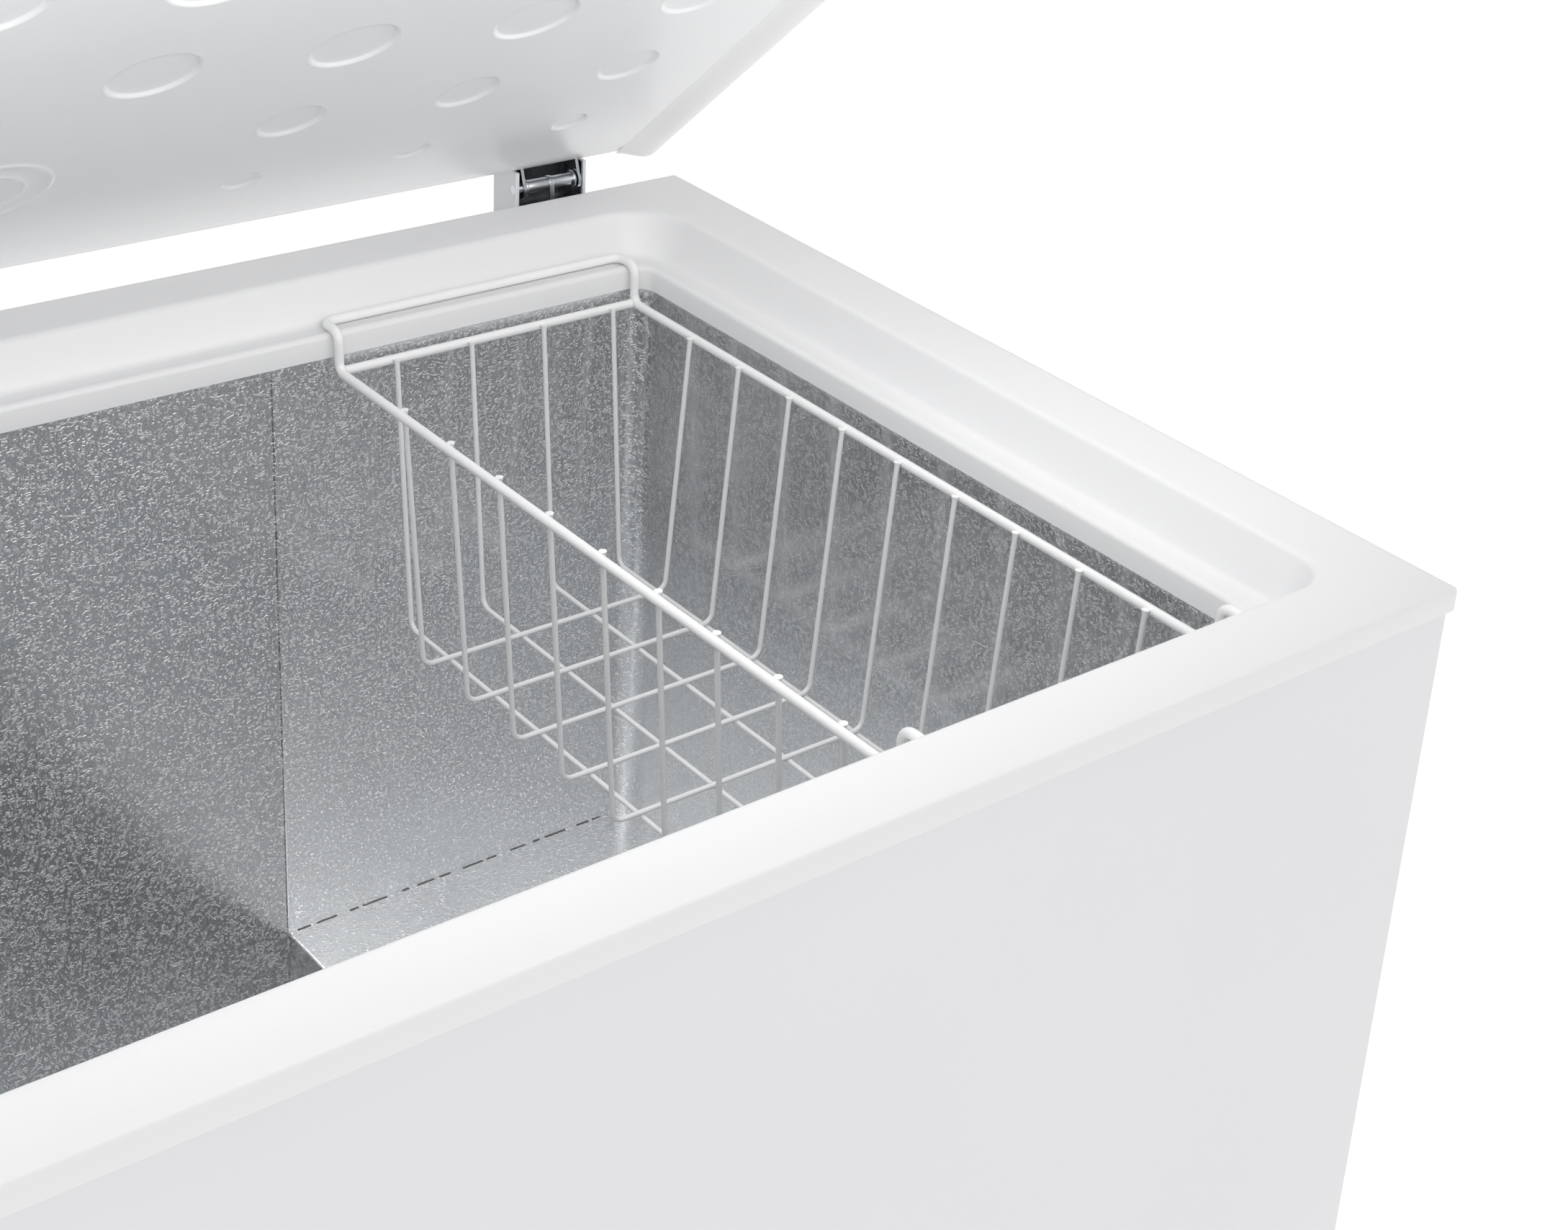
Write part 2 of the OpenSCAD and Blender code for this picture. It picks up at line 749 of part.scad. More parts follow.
// A steel channel, open to the front, with flanges on the back panel
module hinge_channel(s) {
    hw = hinge_w / 2;
    color("white") hinge_place(s) difference() {
        union() {
            for (q = [-1, 1]) {
                x0 = q > 0 ? hw - channel_t : -hw;
                box(x0, x0 + channel_t, channel_y0, channel_y1, channel_low, channel_top);
                box(x0, x0 + channel_t, y_panel_back, channel_y1, channel_low, rim_z - edge_h - 2);
            }
            box(-hw, hw, channel_y1 - channel_t, channel_y1, channel_low, channel_top);
            for (q = [-1, 1]) {
                x0 = q > 0 ? hw - channel_t : -hw - 14;
                box(x0, x0 + 14 + channel_t, y_panel_back, y_panel_back + channel_t,
                    channel_low, rim_z - edge_h - 2);
            }
        }
        translate([0, pin_y, pin_z]) rotate([0, 90, 0])
            cylinder(h = hinge_w + 2 * past, r = pin_r, center = true);
        for (q = [-1, 1], z = [channel_low + 15, rim_z - edge_h - 22])
            translate([q * (hw + 7), y_panel_back - past, z]) rotate([-90, 0, 0])
                cylinder(h = 6, r = 2.2);
    }
}

module hinge_pins() {
    color("silver") for (s = [-1, 1]) hinge_place(s) translate([0, pin_y, pin_z]) rotate([0, 90, 0])
        cylinder(h = hinge_w - 0.2, r = pin_r, center = true);
}

// The roller that the leaf's tail pushes down on the spring
module hinge_rollers() {
    color("silver") for (s = [-1, 1]) hinge_place(s) {
        translate([0, channel_y1 - 9, pin_z - 24]) rotate([0, 90, 0])
            cylinder(h = hinge_w - 2 * channel_t - 1, r = 4, center = true);
        translate([0, channel_y1 - 9, pin_z - 34]) cylinder(h = 8, r = 3);
        translate([0, channel_y1 - 9, pin_z - 36]) cylinder(h = 3, r = 6.2);
        translate([0, channel_y1 - 9, channel_low + 2]) cylinder(h = 112, r = 2);
    }
}

// Coil spring drawn as its own stack of turns on the guide rod
module hinge_springs() {
    turns = 14;
    color("dimgray") for (s = [-1, 1]) hinge_place(s)
        translate([0, channel_y1 - 9, channel_low + 6])
            for (i = [0 : turns - 1]) translate([0, 0, i * 104 / (turns - 1)])
                rotate_extrude() translate([4.6, 0]) circle(1.2, $fn = 16);
}

// The leaf is screwed to the lid's back edge and turns on the pin
module hinge_leaf(s) {
    leaf_w = 42;
    ear_t = 2;
    color("silver") opened() hinge_place(s) difference() {
        union() {
            box(-leaf_w / 2, leaf_w / 2, lid_y1, lid_y1 + 2, shell_z + 2, shell_z + 38);
            for (q = [-1, 1]) {
                x0 = q > 0 ? leaf_w / 2 - ear_t : -leaf_w / 2;
                translate([x0, pin_y, pin_z]) rotate([0, 90, 0]) cylinder(h = ear_t, r = 6.5);
                translate([x0, 0, 0]) rotate([90, 0, 90]) linear_extrude(ear_t) polygon([
                    [lid_y1 + 1, shell_z + 2], [lid_y1 + 1, shell_z + 14],
                    [pin_y + 4, pin_z + 5.1], [pin_y - 4, pin_z - 5.1]]);
            }
        }
        translate([0, pin_y, pin_z]) rotate([0, 90, 0])
            cylinder(h = 80, r = pin_r + run, center = true);
        for (q = [-1, 1]) translate([q * 12, lid_y1 - past, shell_z + 28]) rotate([-90, 0, 0])
            cylinder(h = 5, r = 2.2);
    }
}

module pan_head_screw(l) {
    cylinder(h = l, r = 2.2);
    translate([0, 0, l]) difference() {
        cylinder(h = 2.2, r = 4.4);
        translate([0, 0, 1.2]) for (a = [0, 90]) rotate([0, 0, a]) cube([5, 1, 3], center = true);
    }
}

module hinge_screws() {
    color("silver") for (s = [-1, 1], q = [-1, 1], z = [channel_low + 15, rim_z - edge_h - 22])
        hinge_place(s) translate([q * (hinge_w / 2 + 7), y_panel_back, z]) rotate([-90, 0, 0])
            pan_head_screw(channel_t);
}

module lid_screws() {
    color("silver") opened() for (s = [-1, 1], q = [-1, 1])
        hinge_place(s) translate([q * 12, lid_y1, shell_z + 28]) rotate([-90, 0, 0])
            pan_head_screw(2);
}

// ---- Lid ----

module lid_shell() {
    color("white") opened() difference() {
        lid_block(0, shell_z, shell_top);
        lid_block(1, shell_z - past, shell_top - 1);
    }
}

module lid_foam() {
    color("khaki") opened() lid_block(1, shell_z, shell_top - 1);
}

// White moulded panel with rows of shallow round dimples
module lid_inner_panel() {
    color("whitesmoke") opened() difference() {
        translate([0, lid_y, panel_z])
            linear_extrude(inner_t) round_rect(2 * lid_hx, lid_d, lid_corner_r);
        for (row = dimple_rows, c = [0.5 : 1 : 3.5], s = [-1, 1])
            if (!(c == 0.5 && row[0] < 200))
                translate([s * c * dimple_pitch, lid_y1 - row[0], panel_z - past])
                    cylinder(h = past + 1.4, r = row[1]);
        translate([0, lid_y1 - ring_from_rear, panel_z - past]) difference() {
            cylinder(h = past + 1.2, r = 41);
            translate([0, 0, -past]) cylinder(h = 4, r = 38);
        }
    }
}

// Soft lip round the front and sides, and a low strip at the back
module lid_gasket() {
    lip = [[4, 0], [3.2, -3], [7, -5.3], [12, -lid_recess], [16, -5], [27, 0]];
    low = [[3, 0], [3, -1], [16, -1], [16, 0]];
    color("white") opened() translate([0, 0, panel_z]) {
        for (s = [0, 1]) mirror([s, 0, 0])
            translate([lid_hx, lid_y1 - 1, 0]) rotate([90, 0, 0]) linear_extrude(lid_d - 5)
                polygon([for (p = lip) [-p[0], p[1]]]);
        translate([0, lid_y0, 0]) rotate([90, 0, 90]) linear_extrude(2 * (lid_hx - 8), center = true)
            polygon(lip);
        translate([0, lid_y1, 0]) rotate([90, 0, 90]) linear_extrude(2 * (lid_hx - 30), center = true)
            polygon([for (p = low) [-p[0], p[1]]]);
    }
}

// Moulded grip on the lid's front edge, hollow from below
module lid_handle() {
    hw = 85;
    depth = 24;
    z0 = shell_z + 4;
    z1 = shell_z + 34;
    color("white") opened() difference() {
        union() {
            box(-hw + 12, hw - 12, lid_y0 - depth, lid_y0, z0, z1);
            box(-hw, hw, lid_y0 - depth + 12, lid_y0, z0, z1);
            for (s = [-1, 1]) translate([s * (hw - 12), lid_y0 - depth + 12, z0])
                cylinder(h = z1 - z0, r = 12);
        }
        box(-hw + 6, hw - 6, lid_y0 - depth + 3.5, lid_y0 - 2, z0 - past, z1 - 4);
    }
}

// ---- Basket ----

function rail_x(s) = basket_x + s * basket_w / 2;
function end_y(e) = basket_y + e * basket_l / 2;
function hook(e) = basket_y + e * hook_y;

// One closed wire: both side rails, and a hook over the ledge at each end
module basket_rails() {
    color("white") {
        for (s = [-1, 1]) bar([rail_x(s), end_y(-1), rail_z], [rail_x(s), end_y(1), rail_z], rail_r);
        for (e = [-1, 1]) {
            wire([[rail_x(-1), end_y(e) - e * 1, rail_z], [rail_x(-1), end_y(e), rail_z],
                [rail_x(-1), end_y(e), hook_z], [rail_x(-1), hook(e), hook_z],
                [rail_x(1), hook(e), hook_z], [rail_x(1), end_y(e), hook_z],
                [rail_x(1), end_y(e), rail_z], [rail_x(1), end_y(e) - e * 1, rail_z]], rail_r);
        }
    }
}

module basket_end_rails() {
    color("white") for (e = [-1, 1])
        bar([rail_x(-1) + rail_r, end_y(e), rail_z], [rail_x(1) - rail_r, end_y(e), rail_z], rail_r);
}

// Wires that run across the basket, welded inside the side rails
module basket_cross_wires() {
    x_top = basket_w / 2 - rail_r - thin_r;
    x_low = basket_w / 2 - side_taper;
    color("white") for (i = [0 : cross_n - 1]) {
        y = basket_y + cross_shift + (i - (cross_n - 1) / 2) * cross_pitch;
        wire([[basket_x - x_top, y, rail_z + 1.5], [basket_x - x_low, y, basket_low],
            [basket_x + x_low, y, basket_low], [basket_x + x_top, y, rail_z + 1.5]], thin_r);
    }
}

// Wires that run along the basket, under the cross wires and inside the end rails
module basket_long_wires() {
    y_top = basket_l / 2 - rail_r - thin_r;
    y_low = basket_l / 2 - end_taper;
    low = basket_low - thin_wire;
    color("white") for (i = [0 : long_n - 1]) {
        x = basket_x + long_shift + (i - (long_n - 1) / 2) * long_pitch;
        wire([[x, basket_y - y_top, rail_z + 1.5], [x, basket_y - y_low, low],
            [x, basket_y + y_low, low], [x, basket_y + y_top, rail_z + 1.5]], thin_r);
    }
}

front_panel();
left_panel();
right_panel();
back_panel();
base_pan();
cabinet_foam();
collar();
liner_left();
liner_right();
liner_step();
evaporator_tube();
condenser_tube();
bay_shield();
compressor();
compressor_plate();
compressor_grommets();
compressor_bolts();
start_relay_cover();
filter_drier();
suction_tube();
discharge_tube();
capillary_tube();
front_grille();
rear_grille();
control_bezel();
thermostat_body();
thermostat_knob();
indicator_lamps();
freeze_switch();
drain_plug();
cord_gland();
caster_plates();
rear_caster_forks();
rear_axles();
rear_castor(-1) wheel();  // wheel_rear_left
rear_castor(1) wheel();  // wheel_rear_right
front_castor(-1) fork(kingpin_r + run);  // caster_fork_left
front_castor(1) fork(kingpin_r + run);  // caster_fork_right
front_castor(-1) axle();  // front_axle_left
front_castor(1) axle();  // front_axle_right
front_castor(-1) wheel();  // wheel_front_left
front_castor(1) wheel();  // wheel_front_right
hinge_channel(-1);  // hinge_channel_left
hinge_channel(1);  // hinge_channel_right
hinge_pins();
hinge_springs();
hinge_rollers();
hinge_leaf(-1);  // hinge_leaf_left
hinge_leaf(1);  // hinge_leaf_right
hinge_screws();
lid_screws();
lid_shell();
lid_foam();
lid_inner_panel();
lid_gasket();
lid_handle();
basket_rails();
basket_end_rails();
basket_cross_wires();
basket_long_wires();
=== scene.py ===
# Chest freezer with its lid held open: materials, new pieces, camera and light.
# Metres throughout. +X is the user's right, +Y the back, +Z up.
import json
import math
import bpy
import bmesh
from mathutils import Matrix, Vector


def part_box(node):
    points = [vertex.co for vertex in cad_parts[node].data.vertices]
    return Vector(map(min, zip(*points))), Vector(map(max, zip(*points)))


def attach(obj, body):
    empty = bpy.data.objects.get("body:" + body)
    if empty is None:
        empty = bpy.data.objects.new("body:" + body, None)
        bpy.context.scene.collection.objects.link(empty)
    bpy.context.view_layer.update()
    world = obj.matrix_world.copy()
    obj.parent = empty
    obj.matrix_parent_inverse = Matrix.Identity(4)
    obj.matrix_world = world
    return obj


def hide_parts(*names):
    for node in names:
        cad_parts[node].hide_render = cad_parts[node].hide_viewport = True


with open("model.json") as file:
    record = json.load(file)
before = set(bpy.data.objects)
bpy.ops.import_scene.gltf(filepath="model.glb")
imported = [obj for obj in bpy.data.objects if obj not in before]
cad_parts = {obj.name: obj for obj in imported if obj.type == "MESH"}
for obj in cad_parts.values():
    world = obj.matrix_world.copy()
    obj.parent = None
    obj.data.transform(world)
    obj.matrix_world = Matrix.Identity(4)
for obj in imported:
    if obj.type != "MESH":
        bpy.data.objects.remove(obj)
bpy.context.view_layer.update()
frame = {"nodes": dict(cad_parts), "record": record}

MM = 0.001
# two places closer than this are taken as the same
NEAR = 0.01 * MM

# ---------------------------------------------------------------- places

# the collar's outside: half its width, its front and back, and the height of its rim
collar_lo, collar_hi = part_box("collar")
RIM = collar_hi[2]
X_SIDE = collar_hi[0]
Y_FRONT = collar_lo[1]
Y_BACK = collar_hi[1]
# the opening in the collar: left, right, front, back
OPEN = (-X_SIDE + 41.5 * MM, X_SIDE - 41.5 * MM, Y_FRONT + 42 * MM, Y_BACK - 39.5 * MM)
# how far its wall leans in, how deep and how wide its ledge is, and how deep its lip reaches
WALL_IN = 13.1 * MM
LEDGE = 24.8 * MM
LEDGE_W = 15.8 * MM
LIP = 38.2 * MM
# the left face and the top of the step over the compressor, and the floor beside it
STEP_X = X_SIDE - 318 * MM
STEP_Z = RIM - 419 * MM
FLOOR_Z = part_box("liner_left")[0][2] + 1 * MM

# the hinge pins' axis, and how far the lid stands open
pin_lo, pin_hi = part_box("hinge_pins")
PIVOT = Vector((0, (pin_lo[1] + pin_hi[1]) / 2, (pin_lo[2] + pin_hi[2]) / 2))
LID_ANGLE = math.radians(41.6)

# the closed lid: half its width, its front and back, then its levels from the lip up
LID_HX = X_SIDE - 3 * MM
LID_Y0 = Y_FRONT - 6 * MM
LID_Y1 = PIVOT.y - 12 * MM
LIP_Z = RIM + 0.7 * MM
PANEL_Z = LIP_Z + 5.6 * MM
SHELL_Z = PANEL_Z + 2.4 * MM
TOP_Z = LIP_Z + 58 * MM

# ---------------------------------------------------------------- camera

# it looks down into the cavity from the front left, towards the right rear corner
eye = bpy.data.cameras.new("view")
camera = bpy.data.objects.new("view", eye)
bpy.context.scene.collection.objects.link(camera)
right = Vector((0.75601557, -0.64975375, 0.07912344))
down = Vector((-0.21611, -0.3618816, -0.90682864))
ahead = Vector((0.61784862, 0.6684772, -0.41400641))
place = Vector((X_SIDE - 0.9433, Y_FRONT - 0.6507, RIM + 0.5859))
camera.matrix_world = Matrix((
    (right.x, -down.x, -ahead.x, place.x),
    (right.y, -down.y, -ahead.y, place.y),
    (right.z, -down.z, -ahead.z, place.z),
    (0, 0, 0, 1)))
eye.sensor_fit = "HORIZONTAL"
eye.sensor_width = 36
eye.lens = 60.643
eye.shift_x = -0.10476
eye.shift_y = -0.14052
eye.clip_start = 0.02
eye.clip_end = 60
bpy.context.scene.camera = camera

# ---------------------------------------------------------------- materials


def hexed(code):
    """A six-figure sRGB hex colour as linear red, green, blue, and full alpha."""
    parts = [int(code[i:i + 2], 16) / 255 for i in (0, 2, 4)]
    linear = [c / 12.92 if c <= 0.04045 else ((c + 0.055) / 1.055) ** 2.4 for c in parts]
    return (*linear, 1.0)


def put(tree, kind, settings=None, values=None, links=None):
    """One more node, with its settings, its socket values and what feeds it."""
    made = tree.nodes.new(kind)
    for key, value in (settings or {}).items():
        setattr(made, key, value)
    for key, value in (values or {}).items():
        made.inputs[key].default_value = value
    for key, (source, socket) in (links or {}).items():
        tree.links.new(source.outputs[socket], made.inputs[key])
    return made


def begin(name, **values):
    """A new material: its tree, its shader, and Object coordinates."""
    made = bpy.data.materials.new(name)
    made.use_nodes = True
    tree = made.node_tree
    shader = tree.nodes["Principled BSDF"]
    for key, value in values.items():
        shader.inputs[key.replace("_", " ")].default_value = value
    where = put(tree, "ShaderNodeTexCoord")
    return made, tree, shader, where


# a colour mix node's sockets: what it mixes by, its two colours, and its result
MIX_BY, MIX_A, MIX_B, MIX_OUT = 0, 6, 7, 2


def skin(name, low, high, rough, grain_mm, height_mm, strength, spread_mm, **values):
    """A material whose colour drifts slowly between two tones and whose surface has a fine grain.

    Its roughness drifts with the colour between the two values of rough. The grain has a size, a
    height and a strength, and the drift has a size. Other values go to the shader as they are."""
    made, tree, shader, where = begin(name, **values)
    drift = put(tree, "ShaderNodeTexNoise", values={"Scale": 1000 / spread_mm, "Detail": 3.0},
                links={"Vector": (where, "Object")})
    tone = put(tree, "ShaderNodeMix", {"data_type": "RGBA"}, {MIX_A: hexed(low), MIX_B: hexed(high)},
               {MIX_BY: (drift, "Fac")})
    tree.links.new(tone.outputs[MIX_OUT], shader.inputs["Base Color"])
    grain = put(tree, "ShaderNodeTexNoise", values={"Scale": 1000 / grain_mm, "Detail": 2.0},
                links={"Vector": (where, "Object")})
    gloss = put(tree, "ShaderNodeMapRange", values={"To Min": rough[0], "To Max": rough[1]},
                links={"Value": (drift, "Fac")})
    tree.links.new(gloss.outputs["Result"], shader.inputs["Roughness"])
    bump = put(tree, "ShaderNodeBump", values={"Strength": strength, "Distance": height_mm * MM},
               links={"Height": (grain, "Fac")})
    tree.links.new(bump.outputs["Normal"], shader.inputs["Normal"])
    return made


# Sheet steel with a stoved white powder coat: even, half glossy, with a faint orange peel
PAINT = skin("White powder coated steel", "E6E6E8", "EBEBED", (0.30, 0.36), 2.2, 0.05, 0.15, 260,
             IOR=1.5)
# Pale grey coating on the back sheet: flatter than the white. On the hinges' channels the same grey
# is painted shade over their white paint
BACK_COAT_AND_HINGE_SHADE = skin("Grey back sheet coat and painted hinge shade", "C6C8C9", "D0D2D3", (0.42, 0.5), 1.6, 0.04, 0.25, 180,
                  IOR=1.5)
# Galvanised steel: dull spangle in patches about 8 mm across
ZINC = skin("Galvanised steel", "A9ADB0", "C3C6C8", (0.34, 0.5), 8.0, 0.02, 0.3, 9, Metallic=1.0)
# Injection moulded ABS rim: satin, slightly warmer than the paint
RIM_PLASTIC = skin("Moulded ABS rim", "E9E9EA", "EEEEEE", (0.36, 0.44), 1.2, 0.03, 0.2, 200,
                   IOR=1.53)
# Vacuum formed polystyrene: glossy, a little wavy where it cooled
LID_PLASTIC = skin("Vacuum formed polystyrene", "F0F1F2", "F5F5F6", (0.2, 0.28), 60, 0.2, 0.12, 220,
                   IOR=1.59)
# Soft PVC of the sealing lip: a touch milky and flatter
SEAL = skin("Soft white PVC seal", "F0F0F1", "F5F5F5", (0.36, 0.46), 1.0, 0.02, 0.25, 60, IOR=1.53)
# Epoxy coated wire: thick smooth white coat, rounded over every weld
WIRE = skin("Epoxy coated steel wire", "F3F3F3", "F8F8F8", (0.26, 0.34), 3.0, 0.05, 0.2, 40, IOR=1.5)
# Small white polypropylene mouldings, finely spark-eroded
WHITE_PP = skin("White polypropylene", "E4E5E6", "EAEBEB", (0.45, 0.55), 0.8, 0.04, 0.35, 90,
                IOR=1.49)
# Dark grey nylon castor wheels, scuffed on the tread
WHEEL = skin("Dark grey nylon", "2A2B2D", "3A3B3D", (0.5, 0.68), 1.0, 0.08, 0.4, 12, IOR=1.53)
# Black enamel on the compressor: thick and slightly runny
ENAMEL = skin("Black enamel", "0B0B0C", "141415", (0.22, 0.34), 4.0, 0.1, 0.25, 40, IOR=1.5)
# Moulded rubber of the compressor's grommets: matt and dusty, with no highlight
RUBBER = skin("Black rubber", "101010", "191919", (0.62, 0.76), 0.9, 0.05, 0.4, 15, IOR=1.52)
# Moulded ABS of covers and the lead's gland: dull black with a soft sheen
BLACK_PLASTIC = skin("Black ABS", "121213", "1B1B1C", (0.4, 0.5), 0.9, 0.04, 0.35, 30, IOR=1.53)
# Soft drawn copper tube: bright, browned by handling in places
COPPER = skin("Drawn copper tube", "9A5A3C", "B97450", (0.24, 0.42), 6.0, 0.03, 0.25, 35,
              Metallic=1.0)
# Drawn spring wire, oil hardened: nearly black, with a thin bright line along it
SPRING = skin("Oil hardened spring steel", "25272A", "3C3F43", (0.28, 0.4), 1.5, 0.02, 0.3, 20,
              Metallic=1.0)
# Bright zinc plate on pins, screws and leaves
BRIGHT = skin("Bright zinc plate", "B4B8BC", "D2D5D8", (0.12, 0.24), 3.0, 0.02, 0.2, 14,
              Metallic=1.0)
# Phosphated steel inside the hinges: grey, half bright, streaked with oil
DARK_STEEL = skin("Oiled phosphated steel", "85888C", "AEB1B5", (0.2, 0.34), 2.0, 0.03, 0.25, 9,
                  Metallic=1.0)
# Moulded ABS knob: satin mid grey
KNOB = skin("Grey ABS", "7E8287", "8A8E92", (0.38, 0.46), 0.8, 0.03, 0.3, 20, IOR=1.53)
# Moulded ABS rocker: glossier, polished by fingers
SWITCH = skin("Orange ABS", "D9641C", "E4702A", (0.3, 0.38), 0.8, 0.03, 0.25, 10, IOR=1.53)
# Polished acrylic lamp lens: deep green with a sharp highlight
LENS = skin("Green acrylic lens", "2E9A45", "3CB356", (0.08, 0.14), 2.0, 0.02, 0.15, 6, IOR=1.49)
# The open joint beside a folded sheet: matt grey, as a gap full of shade looks
SLIT = skin("Shadowed joint", "66686B", "7C7E81", (0.6, 0.8), 2.0, 0.03, 0.3, 9, IOR=1.5)


def foamed():
    """Rigid polyurethane foam: cream, matt, closed cells about 1.5 mm across."""
    made, tree, shader, where = begin("Polyurethane foam", Roughness=0.9, IOR=1.45)
    cells = put(tree, "ShaderNodeTexVoronoi", values={"Scale": 1000 / 1.5},
                links={"Vector": (where, "Object")})
    tone = put(tree, "ShaderNodeMix", {"data_type": "RGBA"},
               {MIX_A: hexed("D8C690"), MIX_B: hexed("EADCAE")}, {MIX_BY: (cells, "Distance")})
    tree.links.new(tone.outputs[MIX_OUT], shader.inputs["Base Color"])
    bump = put(tree, "ShaderNodeBump", values={"Strength": 0.5, "Distance": 0.3 * MM},
               links={"Height": (cells, "Distance")})
    tree.links.new(bump.outputs["Normal"], shader.inputs["Normal"])
    return made


def stucco():
    """Stucco embossed aluminium: short raised worms 1 mm wide and 3 or 4 mm long, pressed at random
    into bright sheet that stays flat between them."""
    made, tree, shader, where = begin("Stucco embossed aluminium", Metallic=1.0)
    # level lines of a slow noise make the worms, and a second noise cuts them to length
    swirl = put(tree, "ShaderNodeTexNoise", values={"Scale": 1000 / 3.3, "Detail": 0.0},
                links={"Vector": (where, "Object")})
    many = put(tree, "ShaderNodeMath", {"operation": "MULTIPLY"}, {1: 30.0}, {0: (swirl, "Fac")})
    wave = put(tree, "ShaderNodeMath", {"operation": "SINE"}, links={0: (many, "Value")})
    ridge = put(tree, "ShaderNodeMapRange", {"interpolation_type": "SMOOTHSTEP"},
                {"From Min": 0.0, "From Max": 0.95}, {"Value": (wave, "Value")})
    breaks = put(tree, "ShaderNodeTexNoise", values={"Scale": 1000 / 2.6, "Detail": 0.0},
                 links={"Vector": (where, "Object")})
    cut = put(tree, "ShaderNodeMapRange", {"interpolation_type": "SMOOTHSTEP"},
              {"From Min": 0.42, "From Max": 0.52}, {"Value": (breaks, "Fac")})
    worm = put(tree, "ShaderNodeMath", {"operation": "MULTIPLY"},
               links={0: (ridge, "Result"), 1: (cut, "Result")})
    bump = put(tree, "ShaderNodeBump", values={"Strength": 0.9, "Distance": 0.16 * MM},
               links={"Height": (worm, "Value")})
    tree.links.new(bump.outputs["Normal"], shader.inputs["Normal"])
    # the rolled sheet's tone and gloss drift over about 70 mm, and white mixed into the worms' tops
    # is a painted highlight
    drift = put(tree, "ShaderNodeTexNoise", values={"Scale": 1000 / 70, "Detail": 4.0},
                links={"Vector": (where, "Object")})
    tone = put(tree, "ShaderNodeMix", {"data_type": "RGBA"},
               {MIX_A: hexed("E5E7E9"), MIX_B: hexed("EDEFF0")}, {MIX_BY: (drift, "Fac")})
    # painted highlight: the worms' tops are lightened towards white
    painted_worm_highlight = put(tree, "ShaderNodeMix", {"data_type": "RGBA"}, {MIX_B: hexed("FFFFFF")},
                  {MIX_BY: (worm, "Value"), MIX_A: (tone, MIX_OUT)})
    tree.links.new(painted_worm_highlight.outputs[MIX_OUT], shader.inputs["Base Color"])
    gloss = put(tree, "ShaderNodeMapRange", values={"To Min": 0.19, "To Max": 0.27},
                links={"Value": (drift, "Fac")})
    tree.links.new(gloss.outputs["Result"], shader.inputs["Roughness"])
    return made


FOAM = foamed()
LINER = stucco()

by_slot = {
    "white_steel": PAINT, "back_steel": BACK_COAT_AND_HINGE_SHADE, "zinc_steel": ZINC, "foam": FOAM,
    "collar_plastic": RIM_PLASTIC, "liner_metal": LINER, "copper": COPPER, "black_paint": ENAMEL,
    "black_rubber": RUBBER, "black_plastic": BLACK_PLASTIC, "wheel_plastic": WHEEL,
    "spring_steel": SPRING, "bright_steel": BRIGHT, "seal_white": SEAL, "lid_plastic": LID_PLASTIC,
    "handle_plastic": WHITE_PP, "grille_plastic": WHITE_PP, "knob_plastic": KNOB,
    "lamp_plastic": LENS, "switch_plastic": SWITCH, "wire_white": WIRE,
}
for part in frame["record"]["subparts"]:
    carried = frame["nodes"][part["node"]]
    carried.data.materials.clear()
    carried.data.materials.append(by_slot[part["material_slot"]])

# the hinges' channels are white steel; the back sheet's grey on them is painted shade for the shadow
# they stand in
for channel in ("hinge_channel_left", "hinge_channel_right"):
    frame["nodes"][channel].data.materials[0] = BACK_COAT_AND_HINGE_SHADE

# ---------------------------------------------------------------- making


def clear():
    """Deselects every object."""
    bpy.ops.object.select_all(action="DESELECT")


def take(piece):
    """Makes the piece the only one selected, and the active one."""
    clear()
    piece.select_set(True)
    bpy.context.view_layer.objects.active = piece


def settle(piece):
    """Moves the piece's place into its mesh, so its object is at the origin."""
    take(piece)
    bpy.ops.object.transform_apply(location=True, rotation=True, scale=True)


def edit(piece):
    """Enters edit mode on one piece."""
    take(piece)
    bpy.ops.object.mode_set(mode="EDIT")


def leave():
    """Goes back to object mode."""
    bpy.ops.object.mode_set(mode="OBJECT")


def pick(piece, kind, test):
    """In edit mode, selects the vertices, edges or faces that pass the test, and nothing else."""
    bpy.ops.mesh.select_mode(type=kind)
    bpy.ops.mesh.select_all(action="DESELECT")
    mesh = bmesh.from_edit_mesh(piece.data)
    for item in {"VERT": mesh.verts, "EDGE": mesh.edges, "FACE": mesh.faces}[kind]:
        if test(item):
            item.select_set(True)
    bmesh.update_edit_mesh(piece.data)


def upright(edge):
    """True of an edge that rises from one end to the other."""
    return abs(edge.verts[0].co.z - edge.verts[1].co.z) > 1 * MM


def block(name, x, y, z):
    """A box between two places on each axis, the start of a shaped piece."""
    clear()
    bpy.ops.mesh.primitive_cube_add(size=1, location=(sum(x) / 2, sum(y) / 2, sum(z) / 2))
    piece = bpy.context.object
    piece.name = name
    piece.scale = (x[1] - x[0], y[1] - y[0], z[1] - z[0])
    settle(piece)
    return piece


def soften(piece, width, test=None, segments=3):
    """Rounds the edges that pass the test, or all of them."""
    edit(piece)
    pick(piece, "EDGE", test or (lambda edge: True))
    bpy.ops.mesh.bevel(offset=width, segments=segments, affect="EDGES", clamp_overlap=True)
    leave()


